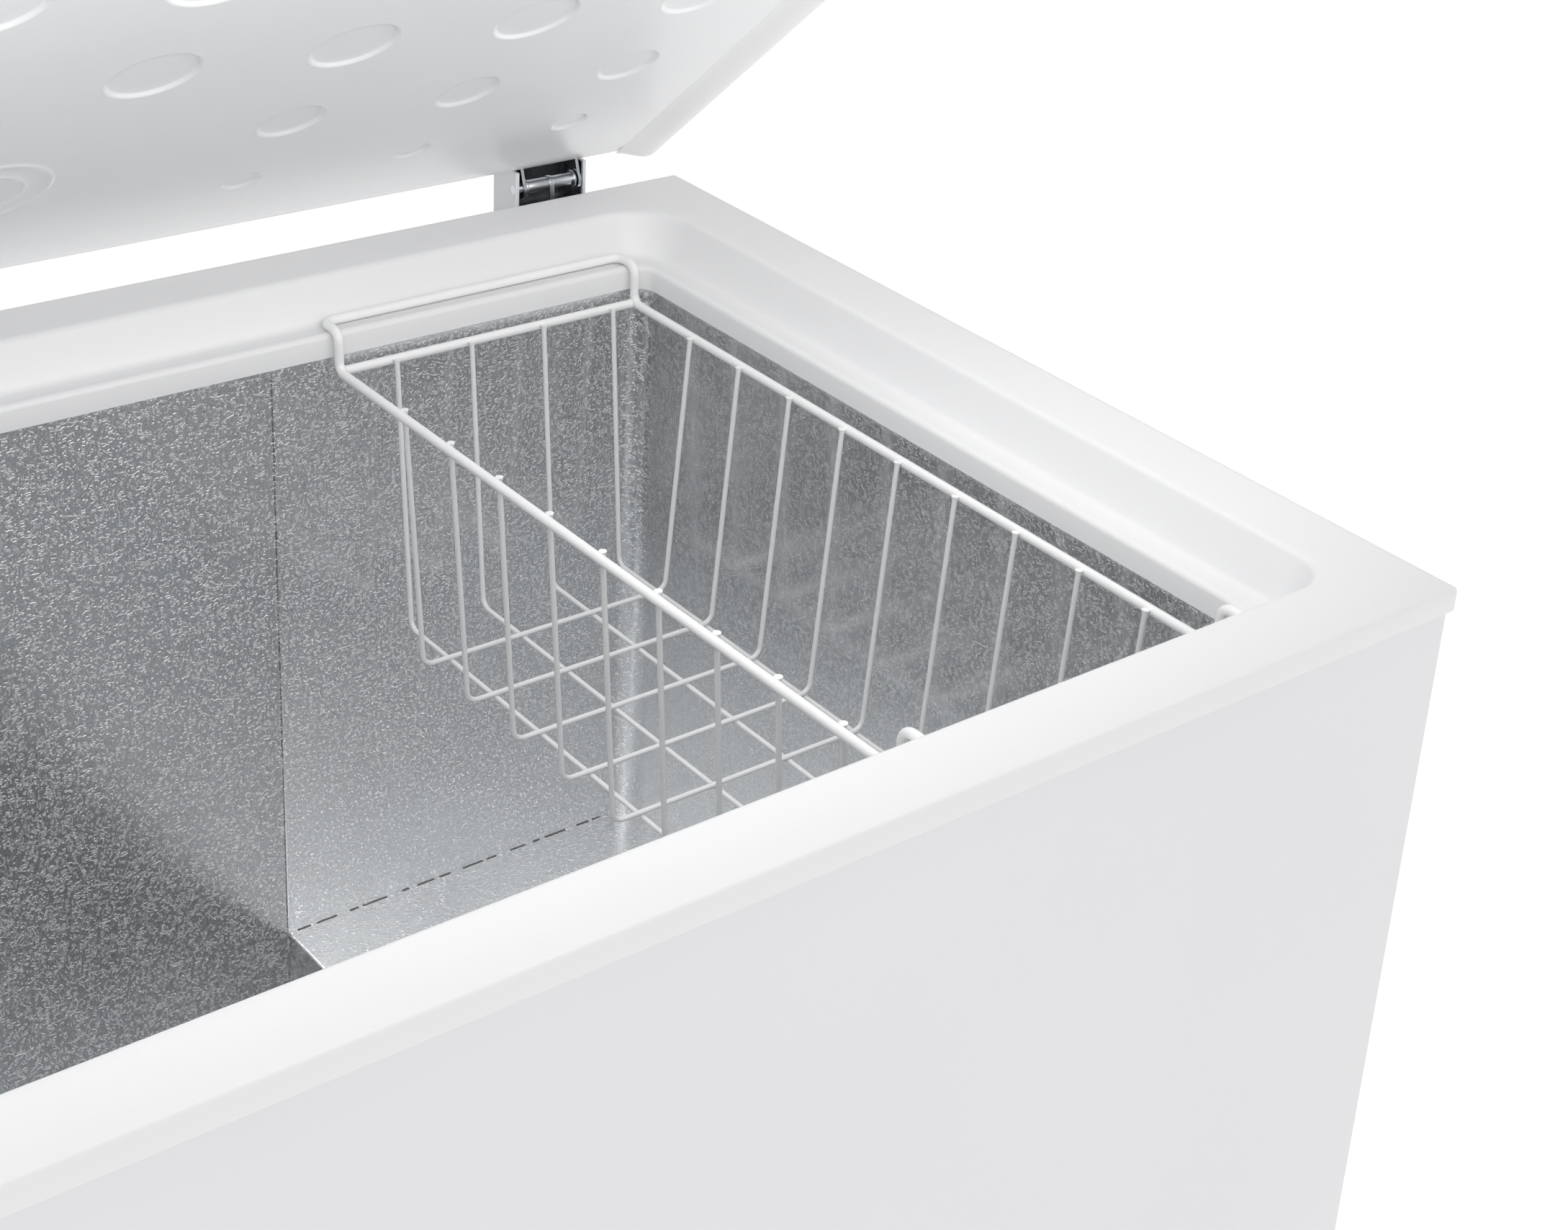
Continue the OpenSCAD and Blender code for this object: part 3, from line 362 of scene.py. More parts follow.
def outline(name, ring, corner_steps, open_back=False):
    """A rounded rectangle of edges, all selected, in edit mode.

    A ring is its left, right, front, back, corner radius and height."""
    x0, x1, y0, y1, r, z = ring[:6]
    clear()
    bpy.ops.mesh.primitive_plane_add(size=1, location=((x0 + x1) / 2, (y0 + y1) / 2, z))
    piece = bpy.context.object
    piece.name = name
    piece.scale = (x1 - x0, y1 - y0, 1)
    settle(piece)
    edit(piece)
    pick(piece, "VERT", lambda v: not open_back or v.co.y < (y0 + y1) / 2)
    bpy.ops.mesh.bevel(affect="VERTICES", offset=r, segments=corner_steps, profile=0.5)
    bpy.ops.mesh.select_all(action="SELECT")
    bpy.ops.mesh.delete(type="ONLY_FACE")
    if open_back:
        pick(piece, "EDGE", lambda e: all(v.co.y > y1 - NEAR for v in e.verts))
        bpy.ops.mesh.delete(type="EDGE")
    bpy.ops.mesh.select_mode(type="EDGE")
    bpy.ops.mesh.select_all(action="SELECT")
    return piece


def next_ring(piece, old, new, open_back=False):
    """Extrudes the selected outline and carries it to the new rounded rectangle.

    A ring may also hold a height for its back half, and a corner radius for its front."""
    bpy.ops.mesh.extrude_edges_move()
    mesh = bmesh.from_edit_mesh(piece.data)
    mid_x, mid_y = (old[0] + old[1]) / 2, (old[2] + old[3]) / 2
    for v in [v for v in mesh.verts if v.select]:
        at_right = v.co.x > mid_x
        at_back = v.co.y > mid_y
        ix, sx = (1, 1) if at_right else (0, -1)
        iy, sy = (3, 1) if at_back else (2, -1)
        was, now = [ring[7] if len(ring) > 7 and not at_back else ring[4] for ring in (old, new)]
        if open_back and at_back:
            v.co.x, v.co.y = new[ix], new[iy]
        else:
            # each corner's arc turns about its own centre and takes the new radius
            v.co.x = new[ix] - sx * now + (v.co.x - (old[ix] - sx * was)) * now / was
            v.co.y = new[iy] - sy * now + (v.co.y - (old[iy] - sy * was)) * now / was
        v.co.z = new[6] if len(new) > 6 and at_back else new[5]
    bmesh.update_edit_mesh(piece.data)


def sweep(name, rings, corner_steps, open_back=False):
    """A sheet through a list of rings, left in edit mode with its last ring selected."""
    piece = outline(name, rings[0], corner_steps, open_back)
    for old, new in zip(rings, rings[1:]):
        next_ring(piece, old, new, open_back)
    return piece


def face_outwards():
    """In edit mode, turns every face outwards."""
    bpy.ops.mesh.select_all(action="SELECT")
    bpy.ops.mesh.normals_make_consistent(inside=False)


def close_up():
    """In edit mode, joins doubled vertices and turns every face outwards."""
    bpy.ops.mesh.select_all(action="SELECT")
    bpy.ops.mesh.remove_doubles(threshold=0.1 * NEAR)
    face_outwards()


def wire(name, points, radius, bend, sides, steps=5, flare=1.0):
    """A round wire that follows the points with bends of the given radius.

    It closes on itself if the last point is the first, and a flare swells its welded ends."""
    points = [Vector(point) for point in points]
    closed = (points[-1] - points[0]).length < NEAR
    first = (points[1] - points[0]).normalized()
    clear()
    bpy.ops.mesh.primitive_circle_add(
        vertices=sides, radius=radius * flare, fill_type="NGON", location=points[0],
        rotation=first.to_track_quat("Z", "Y").to_euler())
    piece = bpy.context.object
    piece.name = name
    settle(piece)
    edit(piece)
    bpy.ops.mesh.select_all(action="SELECT")
    here = points[0]

    def swell(centre, factor):
        """Widens or narrows the end face about its centre."""
        mesh = bmesh.from_edit_mesh(piece.data)
        for v in [v for v in mesh.verts if v.select]:
            v.co = centre + (v.co - centre) * factor
        bmesh.update_edit_mesh(piece.data)

    def push(to):
        """Extrudes the end face straight to a place."""
        bpy.ops.mesh.extrude_region_move(TRANSFORM_OT_translate={"value": to - here})
        return to

    # the length of wire over which a welded end swells
    weld = radius * 1.6
    if flare != 1.0:
        here = push(here + first * weld)
        swell(here, 1 / flare)
    for i in range(1, len(points) - 1):
        before = (points[i] - here).normalized()
        after = (points[i + 1] - points[i]).normalized()
        turn = before.angle(after)
        back = bend * math.tan(turn / 2)
        here = push(points[i] - before * back)
        centre = here + (after - before * after.dot(before)).normalized() * bend
        bpy.ops.mesh.spin(steps=steps, angle=-turn, center=centre,
                          axis=before.cross(after).normalized())
        here = points[i] + after * back
    last = (points[-1] - here).normalized()
    if flare != 1.0:
        here = push(points[-1] - last * weld)
    here = push(points[-1])
    if flare != 1.0:
        swell(here, flare)
    if closed:
        # the two end faces meet, so both go and their edges are joined
        pick(piece, "FACE", lambda f: len(f.verts) == sides
             and (f.calc_center_median() - points[0]).length < 10 * NEAR)
        bpy.ops.mesh.delete(type="FACE")
    close_up()
    leave()
    return piece


def merge(name, pieces):
    """Several meshes become one piece."""
    clear()
    for each in pieces:
        each.select_set(True)
    bpy.context.view_layer.objects.active = pieces[0]
    bpy.ops.object.join()
    pieces[0].name = name
    return pieces[0]


def twin(piece, shift):
    """A copy with its own mesh, moved by shift."""
    copy = piece.copy()
    copy.data = piece.data.copy()
    bpy.context.scene.collection.objects.link(copy)
    copy.data.transform(Matrix.Translation(Vector(shift)))
    return copy


def modify(piece, kind, **settings):
    """Adds a modifier and applies it."""
    take(piece)
    added = piece.modifiers.new(kind.title(), kind)
    for key, value in settings.items():
        setattr(added, key, value)
    bpy.ops.object.modifier_apply(modifier=added.name)


def tilt_open(piece):
    """Takes a piece of the closed lid to where the lid stands open."""
    turn = Matrix.Rotation(-LID_ANGLE, 4, "X")
    piece.data.transform(Matrix.Translation(PIVOT) @ turn @ Matrix.Translation(-PIVOT))


def done(piece, material, body, slot, *stands_for, smooth=35):
    """Finishes a piece: material, smooth shading, the body it rides on, and what it stands for."""
    piece.data.materials.clear()
    piece.data.materials.append(material)
    take(piece)
    bpy.ops.object.shade_smooth_by_angle(angle=math.radians(smooth))
    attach(piece, body)
    if stands_for:
        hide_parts(*stands_for)


# ---------------------------------------------------------------- collar


def round_over(radius, lean, count, corner, convex=True):
    """Points of the rounding between a level face and a wall that leans by lean from upright.

    Each point is its distance in from the opening's edge and its height over the rim."""
    arc = math.pi / 2 - lean
    reach = radius * math.tan(arc / 2)
    points = []
    for i in range(count + 1):
        turn = arc * i / count
        if convex:
            inset = corner[0] - reach + radius * math.sin(turn)
            height = corner[1] - radius + radius * math.cos(turn)
        else:
            inset = corner[0] + reach - radius * math.sin(arc - turn)
            height = corner[1] + radius - radius * math.cos(arc - turn)
        points.append((inset, height))
    return points


def collar_rings():
    """The collar's section as rings: up its outer edge, over the rim and down into the opening."""
    rings = []
    # inset, drop and corner radius of the outer edge, in mm
    for inset, drop, radius in ((0.35, 12.6, 1.6), (0, 11.9, 2.0), (0, 2.6, 2.0), (0.25, 1.4, 1.8),
                                (0.9, 0.45, 1.3), (2.2, 0.0, 1.0), (4.0, 0.0, 1.0)):
        d = inset * MM
        rings.append((-X_SIDE + d, X_SIDE - d, Y_FRONT + d, Y_BACK - d, radius * MM, RIM - drop * MM))
    # from the flat rim, the rounding into the leaning wall and the hollow at its foot
    lean = math.atan2(WALL_IN, LEDGE)
    path = [(-12 * MM, 0.0)]
    path += round_over(4.5 * MM, lean, 5, (0.0, 0.0))
    path += round_over(5 * MM, lean, 4, (WALL_IN, -LEDGE), convex=False)
    inner = WALL_IN + LEDGE_W
    # the bead along the ledge's inner edge: distance out from the lip, and height over the ledge
    for out, over in ((6.5, 0), (4.8, 0.5), (3.4, 0.75), (1.9, 0.5), (0.6, -0.6), (0, -2.2)):
        path.append((inner - out * MM, -LEDGE + over * MM))
    path.append((inner, -LIP))
    # the corners tighten on the way in, and the two front corners are tighter than the rear ones
    for inset, height in path:
        if inset > WALL_IN:
            rear = 25 * MM - (inset - WALL_IN) / LEDGE_W * 11 * MM
            front = min(rear, 14 * MM)
        else:
            part = max(inset / WALL_IN, 0)
            rear = 38 * MM - part * 13 * MM
            front = min(rear, 24 * MM - part * 13 * MM)
        rings.append((OPEN[0] + inset, OPEN[1] - inset, OPEN[2] + inset, OPEN[3] - inset,
                      rear, RIM + height, RIM + height, front))
    return rings


def make_collar():
    """One moulding: edge, flat rim, leaning wall, ledge with its bead, and lip."""
    piece = sweep("collar_moulding", collar_rings(), 10)
    face_outwards()
    leave()
    # an open sheet may come out inside out, and its rim must face up
    rim = [f for f in piece.data.polygons if abs(f.normal.z) > 0.99 and f.center.z > RIM - 10 * NEAR]
    if rim[0].normal.z < 0:
        edit(piece)
        bpy.ops.mesh.select_all(action="SELECT")
        bpy.ops.mesh.flip_normals()
        leave()
    modify(piece, "SOLIDIFY", thickness=2.3 * MM, offset=-1.0)
    done(piece, RIM_PLASTIC, "cabinet", "collar_plastic", "collar", smooth=40)


make_collar()

# ---------------------------------------------------------------- liner

# the sheets hang just inside the collar's lip: left, right, front, back, and their upper edge
IN = WALL_IN + LEDGE_W - 2.5 * MM
LINER_BOX = (OPEN[0] + IN, OPEN[1] - IN, OPEN[2] + IN, OPEN[3] - IN)
LINER_TOP = RIM - LIP + 9.5 * MM
SHEET = 0.8 * MM


def liner_wrap(name, grow, low):
    """Four walls and a floor with rounded corners, open at the top, left in edit mode."""
    x0, x1, y0, y1 = LINER_BOX
    r = 16.5 * MM
    rings = []
    for inset, height in ((0, LINER_TOP), (0, low + 2.5 * MM), (0.7 * MM, low + 0.7 * MM),
                          (2.5 * MM, low)):
        d = inset - grow
        rings.append((x0 + d, x1 - d, y0 + d, y1 - d, r - inset, height))
    piece = sweep(name, rings, 12)
    bpy.ops.mesh.edge_face_add()
    face_outwards()
    return piece


def trim(point, normal):
    """In edit mode, cuts away what lies on the normal's side of a plane."""
    bpy.ops.mesh.select_all(action="SELECT")
    bpy.ops.mesh.bisect(plane_co=point, plane_no=normal, clear_outer=True)


def make_liner():
    """Three embossed sheets: the deep part, the part over the step, and the step itself."""
    deep = liner_wrap("liner_deep_sheet", 0.0, FLOOR_Z)
    trim((STEP_X, 0, 0), (1, 0, 0))
    leave()
    modify(deep, "SOLIDIFY", thickness=SHEET, offset=1.0)
    done(deep, LINER, "cabinet", "liner_metal", "liner_left", smooth=40)
    over = liner_wrap("liner_upper_sheet", -0.5 * MM, STEP_Z - 4 * MM)
    trim((STEP_X, 0, 0), (-1, 0, 0))
    trim((0, 0, STEP_Z - 1 * MM), (0, 0, -1))
    leave()
    modify(over, "SOLIDIFY", thickness=SHEET, offset=1.0)
    done(over, LINER, "cabinet", "liner_metal", "liner_right", smooth=40)
    x0, x1, y0, y1 = LINER_BOX
    step = block("liner_step_sheet", (STEP_X, x1 - 0.3 * MM), (y0 + 0.2 * MM, y1 - 0.2 * MM),
                 (FLOOR_Z, STEP_Z))
    edit(step)
    pick(step, "FACE", lambda f: f.normal.z < -0.5 or f.normal.x > 0.5 or abs(f.normal.y) > 0.5)
    bpy.ops.mesh.delete(type="FACE")
    leave()
    soften(step, 2.2 * MM, lambda e: all(v.co.x < STEP_X + NEAR and v.co.z > STEP_Z - NEAR
                                         for v in e.verts), 5)
    modify(step, "SOLIDIFY", thickness=SHEET, offset=-1.0)
    done(step, LINER, "cabinet", "liner_metal", "liner_step", smooth=40)


def make_joints():
    """Short dark gaps where the step's top meets the back wall, and the back sheets' folded lap."""
    back = LINER_BOX[3]
    lengths = (9, 14, 6, 17, 5, 12, 8, 15, 7, 11, 5, 16, 9, 6, 13)
    pauses = (4, 9, 3, 11, 6) * 3
    gaps = []
    x = STEP_X + 6 * MM
    for length, pause in zip(lengths, pauses):
        gap = block("gap", (x, x + length * MM), (back - 1.2 * MM, back - 0.45 * MM),
                    (STEP_Z + 0.02 * MM, STEP_Z + 0.24 * MM))
        soften(gap, 0.08 * MM, segments=1)
        gaps.append(gap)
        x += (length + pause) * MM
    done(merge("step_joint_gaps", gaps), SLIT, "cabinet", "liner_metal")
    lap = block("back_wall_lap", (STEP_X - 0.5 * MM, STEP_X + 0.4 * MM), (back - 1.1 * MM, back),
                (STEP_Z, LINER_TOP - 1 * MM))
    soften(lap, 0.3 * MM, segments=2)
    done(lap, LINER, "cabinet", "liner_metal")


make_liner()
make_joints()

# ---------------------------------------------------------------- lid

# the hollows stand in rows across the lid, evenly pitched from its middle
PITCH = 106 * MM
# each row's distance from the rear edge and the radius of its hollows, in mm
ROWS = ((77, 13), (156, 20.5), (247, 25.5), (349, 29), (450, 25.5), (541, 20.5))


def dish(x, y, radius, steps):
    """A round hollow pressed up into the lid's panel, shaped by insets of its face.

    Each step is how far in and how far up the next ring lies, in mm."""
    clear()
    bpy.ops.mesh.primitive_circle_add(vertices=56, radius=radius, fill_type="NGON",
                                      location=(x, y, PANEL_Z))
    piece = bpy.context.object
    settle(piece)
    edit(piece)
    bpy.ops.mesh.select_all(action="SELECT")
    bpy.ops.mesh.flip_normals()
    # a level border and a low bead first, which keep the flat around it evenly shaded
    for wide, rise in ((0.3, 0), (0.6, -0.14), (0.6, 0.14), *steps):
        bpy.ops.mesh.inset(thickness=wide * MM, depth=-rise * MM)
    leave()
    return piece


def make_dishes():
    """Every hollow of the lid: the rows, and one double ring behind them on the middle line."""
    dishes = []
    for along, radius in ROWS:
        y = LID_Y1 - along * MM
        # the wider hollows are the deeper ones, and each has a soft S-shaped wall
        depth = 0.72 + radius * 0.0095
        steps = [(0.5, 0.13 * depth), (0.6, 0.47 * depth), (0.6, 0.72 * depth),
                 (0.6, 0.47 * depth), (0.5, 0.13 * depth), (radius * 0.25, 0.02),
                 (radius * 0.3, 0.01)]
        # the double ring takes the place of the middle pair in the two rear rows
        for column in (0.5, 1.5, 2.5, 3.5) if along > 200 else (1.5, 2.5, 3.5):
            for side in (-1, 1):
                dishes.append(dish(side * column * PITCH, y, radius * MM, steps))
    ring = [(0.8, -0.2), (0.9, -0.45), (0.9, -0.2), (0.9, 0.1), (0.9, 0.35), (0.9, 0.3), (8.5, 0.0),
            (0.8, -0.2), (0.9, -0.4), (0.9, -0.1), (0.9, 0.25), (0.9, 0.35), (0.8, 0.1)]
    dishes.append(dish(0, LID_Y1 - 124 * MM, 40.6 * MM, ring))
    return dishes


def make_lid_panel():
    """The moulded inside of the lid: a flat with rows of hollows and one double ring."""
    x = LID_HX
    flat = (-x + 13 * MM, x - 13 * MM, LID_Y0 + 13 * MM, LID_Y1 - 18 * MM, 4 * MM, PANEL_Z)
    edge = outline("lid_panel", flat, 6)
    leave()
    panel = merge("lid_panel_moulding", [edge, *make_dishes()])
    edit(panel)
    pick(panel, "EDGE", lambda e: len(e.link_faces) < 2)
    bpy.ops.mesh.fill(use_beauty=True)
    pick(panel, "EDGE", lambda e: len(e.link_faces) < 2)
    # a level border round the flat, then the rolled edge, and the wall up into the lid
    rings = [flat,
             (-x + 10 * MM, x - 10 * MM, LID_Y0 + 10 * MM, LID_Y1 - 15 * MM, 5 * MM, PANEL_Z),
             (-x + 1 * MM, x - 1 * MM, LID_Y0 + 1 * MM, LID_Y1 - 8 * MM, 12 * MM,
              PANEL_Z, PANEL_Z + 0.5 * MM),
             (-x + 0.3 * MM, x - 0.3 * MM, LID_Y0 + 0.3 * MM, LID_Y1 - 2.4 * MM, 13 * MM,
              PANEL_Z + 0.3 * MM, PANEL_Z + 1.1 * MM),
             (-x, x, LID_Y0, LID_Y1, 14 * MM, PANEL_Z + 0.9 * MM, PANEL_Z + 1.9 * MM),
             (-x, x, LID_Y0, LID_Y1, 14 * MM, SHELL_Z, SHELL_Z)]
    for old, new in zip(rings, rings[1:]):
        next_ring(panel, old, new)
    bpy.ops.mesh.edge_face_add()
    close_up()
    leave()
    tilt_open(panel)
    done(panel, LID_PLASTIC, "lid", "lid_plastic", "lid_inner_panel", smooth=28)


def make_seal():
    """The soft lip on three sides: round outside, crest, then a long cove back to the panel."""
    # distance in from the lid's edge and below the panel, in mm
    profile = ((0.8, 0.0), (0.8, 1.6), (1.6, 3.2), (3.2, 4.6), (5.6, 5.4), (8.6, 5.6), (11.6, 5.35),
               (14.6, 4.6), (17.8, 3.5), (21, 2.35), (24, 1.3), (27, 0.5), (30, 0.05), (30, -0.3),
               (0.8, -0.3), (0.8, 0.0))
    rings = []
    for inset, fall in profile:
        d = inset * MM
        r = max(13.2 - inset * 0.34, 3) * MM
        rings.append((-LID_HX + d, LID_HX - d, LID_Y0 + d, LID_Y1 - 1.2 * MM, r,
                      PANEL_Z - fall * MM))
    seal = sweep("lid_seal", rings, 8, open_back=True)
    bpy.ops.mesh.select_all(action="SELECT")
    bpy.ops.mesh.remove_doubles(threshold=0.1 * NEAR)
    # the two rear ends are closed
    for side in (-1, 1):
        pick(seal, "EDGE", lambda e: all(v.co.y > LID_Y1 - 2 * MM and v.co.x * side > 0
                                         for v in e.verts))
        bpy.ops.mesh.edge_face_add()
    close_up()
    leave()
    tilt_open(seal)
    done(seal, SEAL, "lid", "seal_white", "lid_gasket", smooth=40)


def lid_block(name, inset, low, high):
    """The lid's block, smaller by inset all round, with round corners and round upper edges."""
    d = inset * MM
    piece = block(name, (-LID_HX + d, LID_HX - d), (LID_Y0 + d, LID_Y1 - d), (low, high))
    soften(piece, (14 - inset) * MM, upright, 8)
    soften(piece, (12 - inset) * MM, lambda e: all(v.co.z > high - NEAR for v in e.verts), 6)
    return piece


def make_lid_case():
    """The steel tray of the lid over its foam core."""
    case = lid_block("lid_case", 0, SHELL_Z, TOP_Z)
    edit(case)
    pick(case, "FACE", lambda f: f.normal.z < -0.9)
    bpy.ops.mesh.delete(type="FACE")
    leave()
    modify(case, "SOLIDIFY", thickness=SHEET, offset=-1.0)
    tilt_open(case)
    done(case, PAINT, "lid", "white_steel", "lid_shell", smooth=35)
    core = lid_block("lid_core", 1, SHELL_Z + 0.1 * MM, TOP_Z - 1 * MM)
    tilt_open(core)
    done(core, FOAM, "lid", "foam", "lid_foam", smooth=35)


def make_handle():
    """The lid's grip: a moulding with rounded corners, hollow from below for the fingers."""
    half = 85 * MM
    z0, z1 = SHELL_Z + 4 * MM, SHELL_Z + 34 * MM
    y0 = LID_Y0 - 24 * MM
    grip = block("lid_grip", (-half, half), (y0, LID_Y0), (z0, z1))
    soften(grip, 11 * MM, lambda e: upright(e) and e.verts[0].co.y < y0 + NEAR, 7)
    soften(grip, 5 * MM, lambda e: all(v.co.z > z1 - NEAR for v in e.verts)
           and any(v.co.y < LID_Y0 - 1 * MM for v in e.verts), 4)
    edit(grip)
    pick(grip, "FACE", lambda f: f.normal.z < -0.9)
    bpy.ops.mesh.inset(thickness=3 * MM, depth=0)
    bpy.ops.mesh.inset(thickness=0.4 * MM, depth=-25 * MM)
    close_up()
    leave()
    # the lower edges, inside and out
    soften(grip, 0.8 * MM, lambda e: all(abs(v.co.z - z0) < NEAR for v in e.verts)
           and e.calc_face_angle(0) > 1.0, 2)
    tilt_open(grip)
    done(grip, WHITE_PP, "lid", "handle_plastic", "lid_handle", smooth=35)


make_lid_panel()
make_seal()
make_lid_case()
make_handle()

# ---------------------------------------------------------------- hinges


channel_lo, channel_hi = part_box("hinge_channel_right")
# a hinge's middle, the inside of its channel's back, and the plane of its open front
HINGE_X = (channel_lo[0] + channel_hi[0]) / 2
HINGE_BACK = channel_hi[1] - 2 * MM
HINGE_FRONT = PIVOT.y - 4.2 * MM
# how high the linings reach over the pin, and how far below it
LINING_UP = 11.5 * MM
LINING_DOWN = 60 * MM


def rod(radius, length, place, axis, lip, sides):
    """A round bar along X or Y with softened ends."""
    turn = (0, math.pi / 2, 0) if axis == 0 else (math.pi / 2, 0, 0)
    clear()
    bpy.ops.mesh.primitive_cylinder_add(vertices=sides, radius=radius, depth=length,
                                        location=place, rotation=turn)
    piece = bpy.context.object
    settle(piece)
    soften(piece, lip, lambda e: abs(e.verts[0].co[axis] - e.verts[1].co[axis]) < 0.1 * NEAR, 2)
    return piece


def pin_rod(x, radius, lip):
    """A round bar about the hinge pins' axis, between two places across."""
    return rod(radius, x[1] - x[0], (sum(x) / 2, PIVOT.y, PIVOT.z), 0, lip, 28)


def make_hinge_lining(side, middle):
    """The dark steel inside a hinge: a back plate with a sunk field, and two cheeks."""
    z = (PIVOT.z - LINING_DOWN, PIVOT.z + LINING_UP)
    plate = block("plate", (middle - 23.3 * MM, middle + 23.3 * MM),
                  (HINGE_BACK - 0.9 * MM, HINGE_BACK - 0.1 * MM), z)
    edit(plate)
    pick(plate, "FACE", lambda f: f.normal.y < -0.9)
    bpy.ops.mesh.inset(thickness=2.5 * MM, depth=0)
    bpy.ops.mesh.inset(thickness=0.5 * MM, depth=-0.3 * MM)
    leave()
    cheeks = [block("cheek", (middle + a * MM, middle + (a + 0.35) * MM),
                    (HINGE_FRONT + 1.4 * MM, HINGE_BACK - 0.9 * MM), z) for a in (-23.35, 23.0)]
    done(merge(f"hinge_lining_{side}", [plate, *cheeks]), DARK_STEEL, "cabinet", "spring_steel")


def make_hinge_stud(side, middle):
    """The round head of a rivet in the lining's back plate."""
    place = (middle - 4 * MM, HINGE_BACK - 0.9 * MM, PIVOT.z + 6 * MM)
    stud = rod(1.3 * MM, 0.7 * MM, place, 1, 0.2 * MM, 20)
    stud.name = f"hinge_stud_{side}"
    done(stud, BRIGHT, "cabinet", "bright_steel")


def make_hinge_sleeve(side, middle):
    """A bright sleeve on the pin with a cap at each end, and a clip whose tail hangs in front."""
    clip = (middle - 1.3 * MM, middle + 1.9 * MM)
    tube = pin_rod((middle - 17.4 * MM, middle + 17.4 * MM), 4.4 * MM, 0.5 * MM)
    caps = [pin_rod((middle + a * MM, middle + (a + 2.2) * MM), 5.7 * MM, 0.7 * MM)
            for a in (-18.4, 16.2)]
    band = pin_rod(clip, 5.1 * MM, 0.3 * MM)
    tail = block("tail", clip, (HINGE_FRONT - 0.9 * MM, HINGE_FRONT - 0.1 * MM),
                 (PIVOT.z - 24 * MM, PIVOT.z + 1 * MM))
    soften(tail, 0.3 * MM, segments=2)
    done(merge(f"hinge_sleeve_{side}", [tube, *caps, band, tail]), BRIGHT, "cabinet",
         "bright_steel", smooth=40)


def make_hinge_lips(side, middle):
    """The white edges of the channel, one on each side of its open front."""
    lips = []
    for a in (-25.6, 23.4):
        strip = block("lip", (middle + a * MM, middle + (a + 2.2) * MM),
                      (HINGE_FRONT - 0.25 * MM, HINGE_FRONT + 0.7 * MM),
                      (PIVOT.z - 30 * MM, PIVOT.z + 12.1 * MM))
        soften(strip, 0.25 * MM, segments=2)
        lips.append(strip)
    done(merge(f"hinge_lips_{side}", lips), PAINT, "cabinet", "white_steel")


for side, middle in (("left", -HINGE_X), ("right", HINGE_X)):
    make_hinge_lining(side, middle)
    make_hinge_stud(side, middle)
    make_hinge_sleeve(side, middle)
    make_hinge_lips(side, middle)

# ---------------------------------------------------------------- basket

rails_lo, rails_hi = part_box("basket_rails")
# radii of the thick rail and the thin wire
RAIL_R = 2.7 * MM
THIN_R = 1.5 * MM
# the basket's middle, and half its width and its length
BX = (rails_lo[0] + rails_hi[0]) / 2
BY = (rails_lo[1] + rails_hi[1]) / 2
HALF_W = 100 * MM
HALF_L = 247.5 * MM
# heights of the rail, of its hooks over the ledge, and of the wires that cross underneath
RAIL_Z = RIM - 45.5 * MM
HOOK_Z = RIM - LEDGE + RAIL_R + 0.4 * MM
LOW = RAIL_Z - 164.2 * MM
# how far from the middle the hooks reach, over the front and the back ledge
HOOK_Y = (OPEN[3] - OPEN[2]) / 2 - WALL_IN - 3.4 * MM
# spacing of the cross wires and of the long wires, and the middle of each set
CROSS_PITCH = 48.2 * MM
CROSS_Y = BY - 9.8 * MM
LONG_PITCH = 49.2 * MM
LONG_X = BX + 8 * MM


def make_rails():
    """One closed rail that rises into a hook at each end, and a straight wire across each end."""
    xr, xl = BX + HALF_W, BX - HALF_W
    loop = [(xr, BY, RAIL_Z)]
    for end, a, b in ((1, xr, xl), (-1, xl, xr)):
        y, over = BY + end * HALF_L, BY + end * HOOK_Y
        loop += [(a, y, RAIL_Z), (a, y, HOOK_Z), (a, over, HOOK_Z), (b, over, HOOK_Z),
                 (b, y, HOOK_Z), (b, y, RAIL_Z)]
    loop.append(loop[0])
    rails = wire("basket_rail_loop", loop, RAIL_R, 6.5 * MM, 16, 6)
    done(rails, WIRE, "basket", "wire_white", "basket_rails", smooth=60)
    ends = []
    for y in (BY - HALF_L, BY + HALF_L):
        ends.append(wire("end", [(xl + 1 * MM, y, RAIL_Z), (xr - 1 * MM, y, RAIL_Z)],
                         RAIL_R, 0, 16, flare=1.15))
    done(merge("basket_end_wires", ends), WIRE, "basket", "wire_white", "basket_end_rails",
         smooth=60)


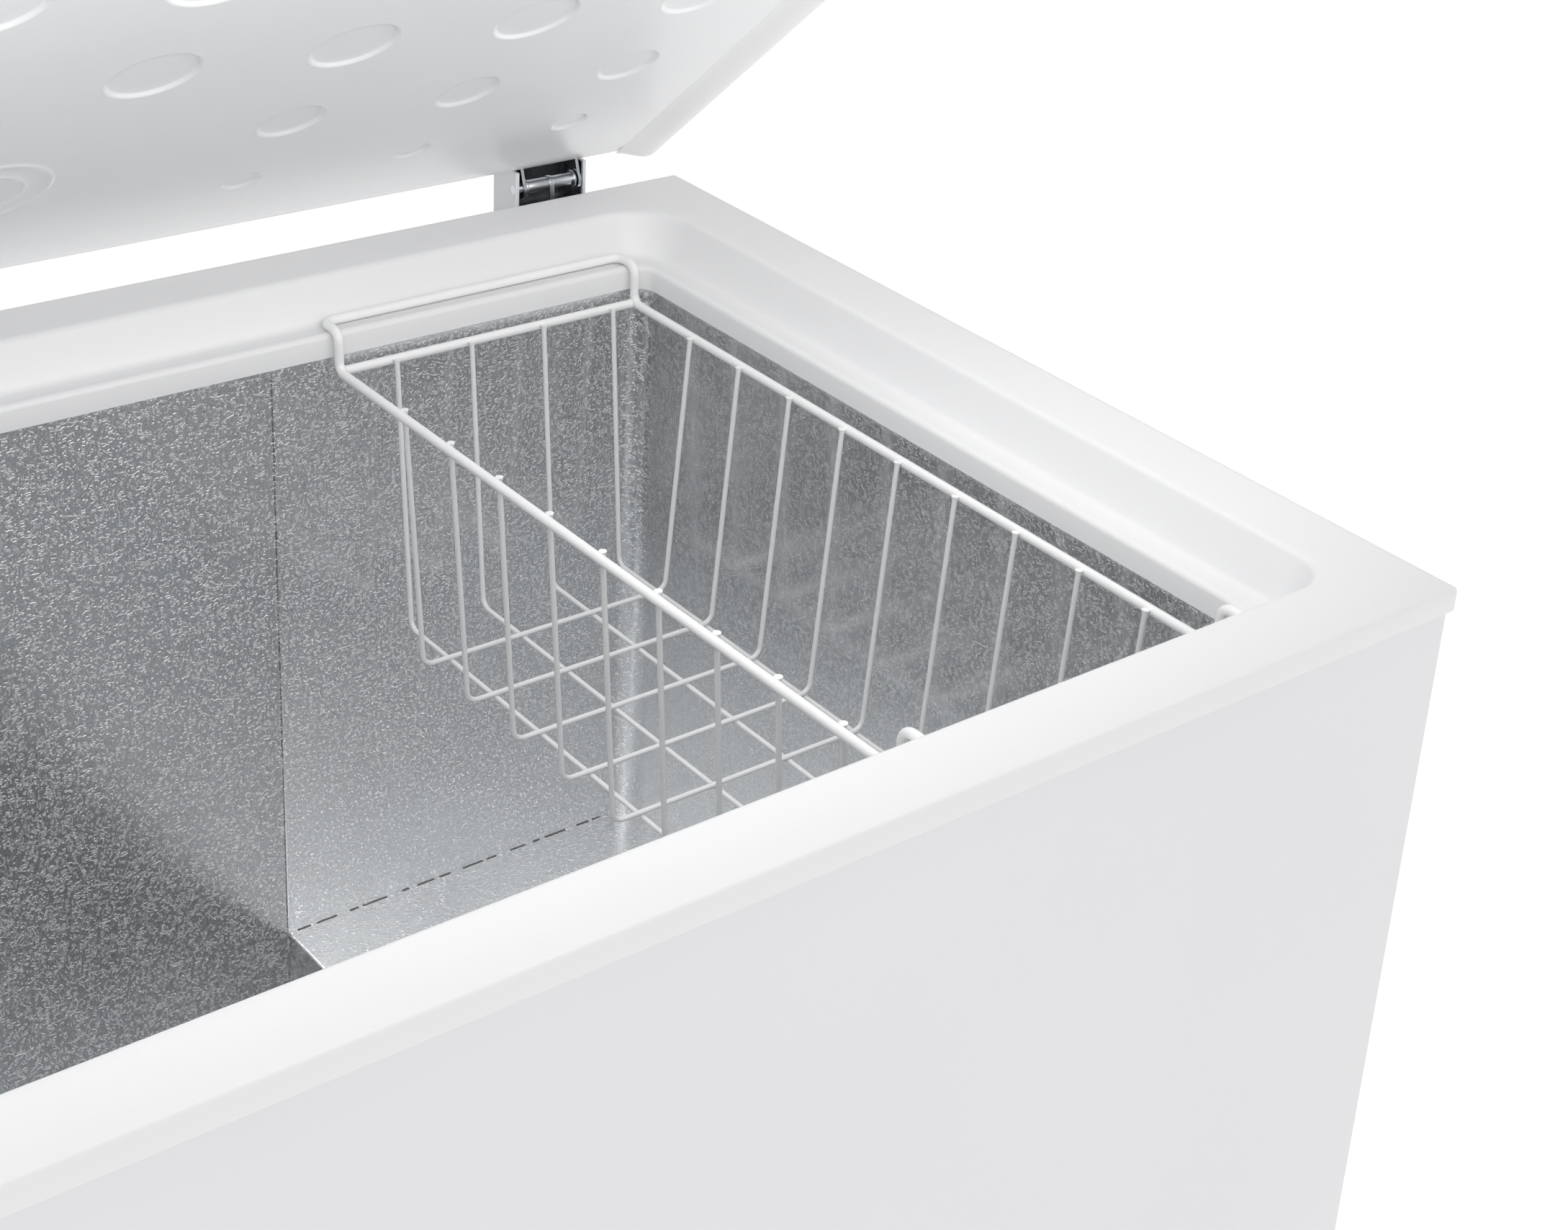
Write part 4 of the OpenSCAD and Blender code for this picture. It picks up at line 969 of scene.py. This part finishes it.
def make_loops():
    """The thin wires, each down one side, under and up the other: nine across, four along."""
    bend, flare, sides = 7 * MM, 1.5, 10
    weld_z = RAIL_Z + 1.5 * MM
    # a cross wire is welded inside the rails and draws in towards its foot
    top = HALF_W - RAIL_R - THIN_R
    foot = HALF_W - 15.5 * MM
    one = wire("cross", [(BX - top, CROSS_Y, weld_z), (BX - foot, CROSS_Y, LOW),
                         (BX + foot, CROSS_Y, LOW), (BX + top, CROSS_Y, weld_z)],
               THIN_R, bend, sides, flare=flare)
    more = [twin(one, (0, i * CROSS_PITCH, 0)) for i in range(-4, 5) if i]
    done(merge("basket_cross_loops", [one, *more]), WIRE, "basket", "wire_white",
         "basket_cross_wires", smooth=60)
    # the long wires run under the cross wires
    top = HALF_L - RAIL_R - THIN_R
    foot = HALF_L - 19 * MM
    low = LOW - 2 * THIN_R
    first = LONG_X - 1.5 * LONG_PITCH
    one = wire("long", [(first, BY - top, weld_z), (first, BY - foot, low),
                        (first, BY + foot, low), (first, BY + top, weld_z)],
               THIN_R, bend, sides, flare=flare)
    more = [twin(one, (i * LONG_PITCH, 0, 0)) for i in (1, 2, 3)]
    done(merge("basket_long_loops", [one, *more]), WIRE, "basket", "wire_white",
         "basket_long_wires", smooth=60)


make_rails()
make_loops()

# ---------------------------------------------------------------- stage and light

# A white floor with a little light of its own, so that it stays white up to the object
FLOOR = skin("White studio floor", "F4F4F4", "F8F8F8", (0.8, 0.9), 20, 0.1, 0.1, 900,
             Emission_Color=(1, 1, 1, 1), Emission_Strength=0.42)
clear()
bpy.ops.mesh.primitive_plane_add(size=24, location=(0, 0, 0))
ground = bpy.context.object
ground.name = "floor"
settle(ground)
ground.data.materials.append(FLOOR)

world = bpy.data.worlds.new("studio")
bpy.context.scene.world = world
world.use_nodes = True
surround = world.node_tree.nodes["Background"]
surround.inputs["Color"].default_value = (1, 1, 1, 1)
surround.inputs["Strength"].default_value = 0.64


def lamp(name, at, towards, size, watts):
    """A soft rectangular light at a place, facing a point."""
    data = bpy.data.lights.new(name, "AREA")
    data.shape = "RECTANGLE"
    data.size, data.size_y = size
    data.energy = watts
    made = bpy.data.objects.new(name, data)
    bpy.context.scene.collection.objects.link(made)
    made.location = at
    made.rotation_euler = (Vector(towards) - Vector(at)).to_track_quat("-Z", "Y").to_euler()
    return made


lamp("front_window", (-1.3, -3.4, 1.1), (0, 0, 0.9), (3.0, 2.2), 10)
lamp("right_window", (3.2, -1.4, 1.6), (0, 0, 0.8), (1.6, 2.0), 5)
# a soft panel over the front edge that lights the cavity, and isn't seen itself
fill = lamp("cavity_fill", (0.05, -0.32, 1.25), (0.05, 0.6, 0.97), (1.0, 0.5), 3.1)
fill.visible_camera = False
bpy.context.scene.view_settings.view_transform = "Standard"
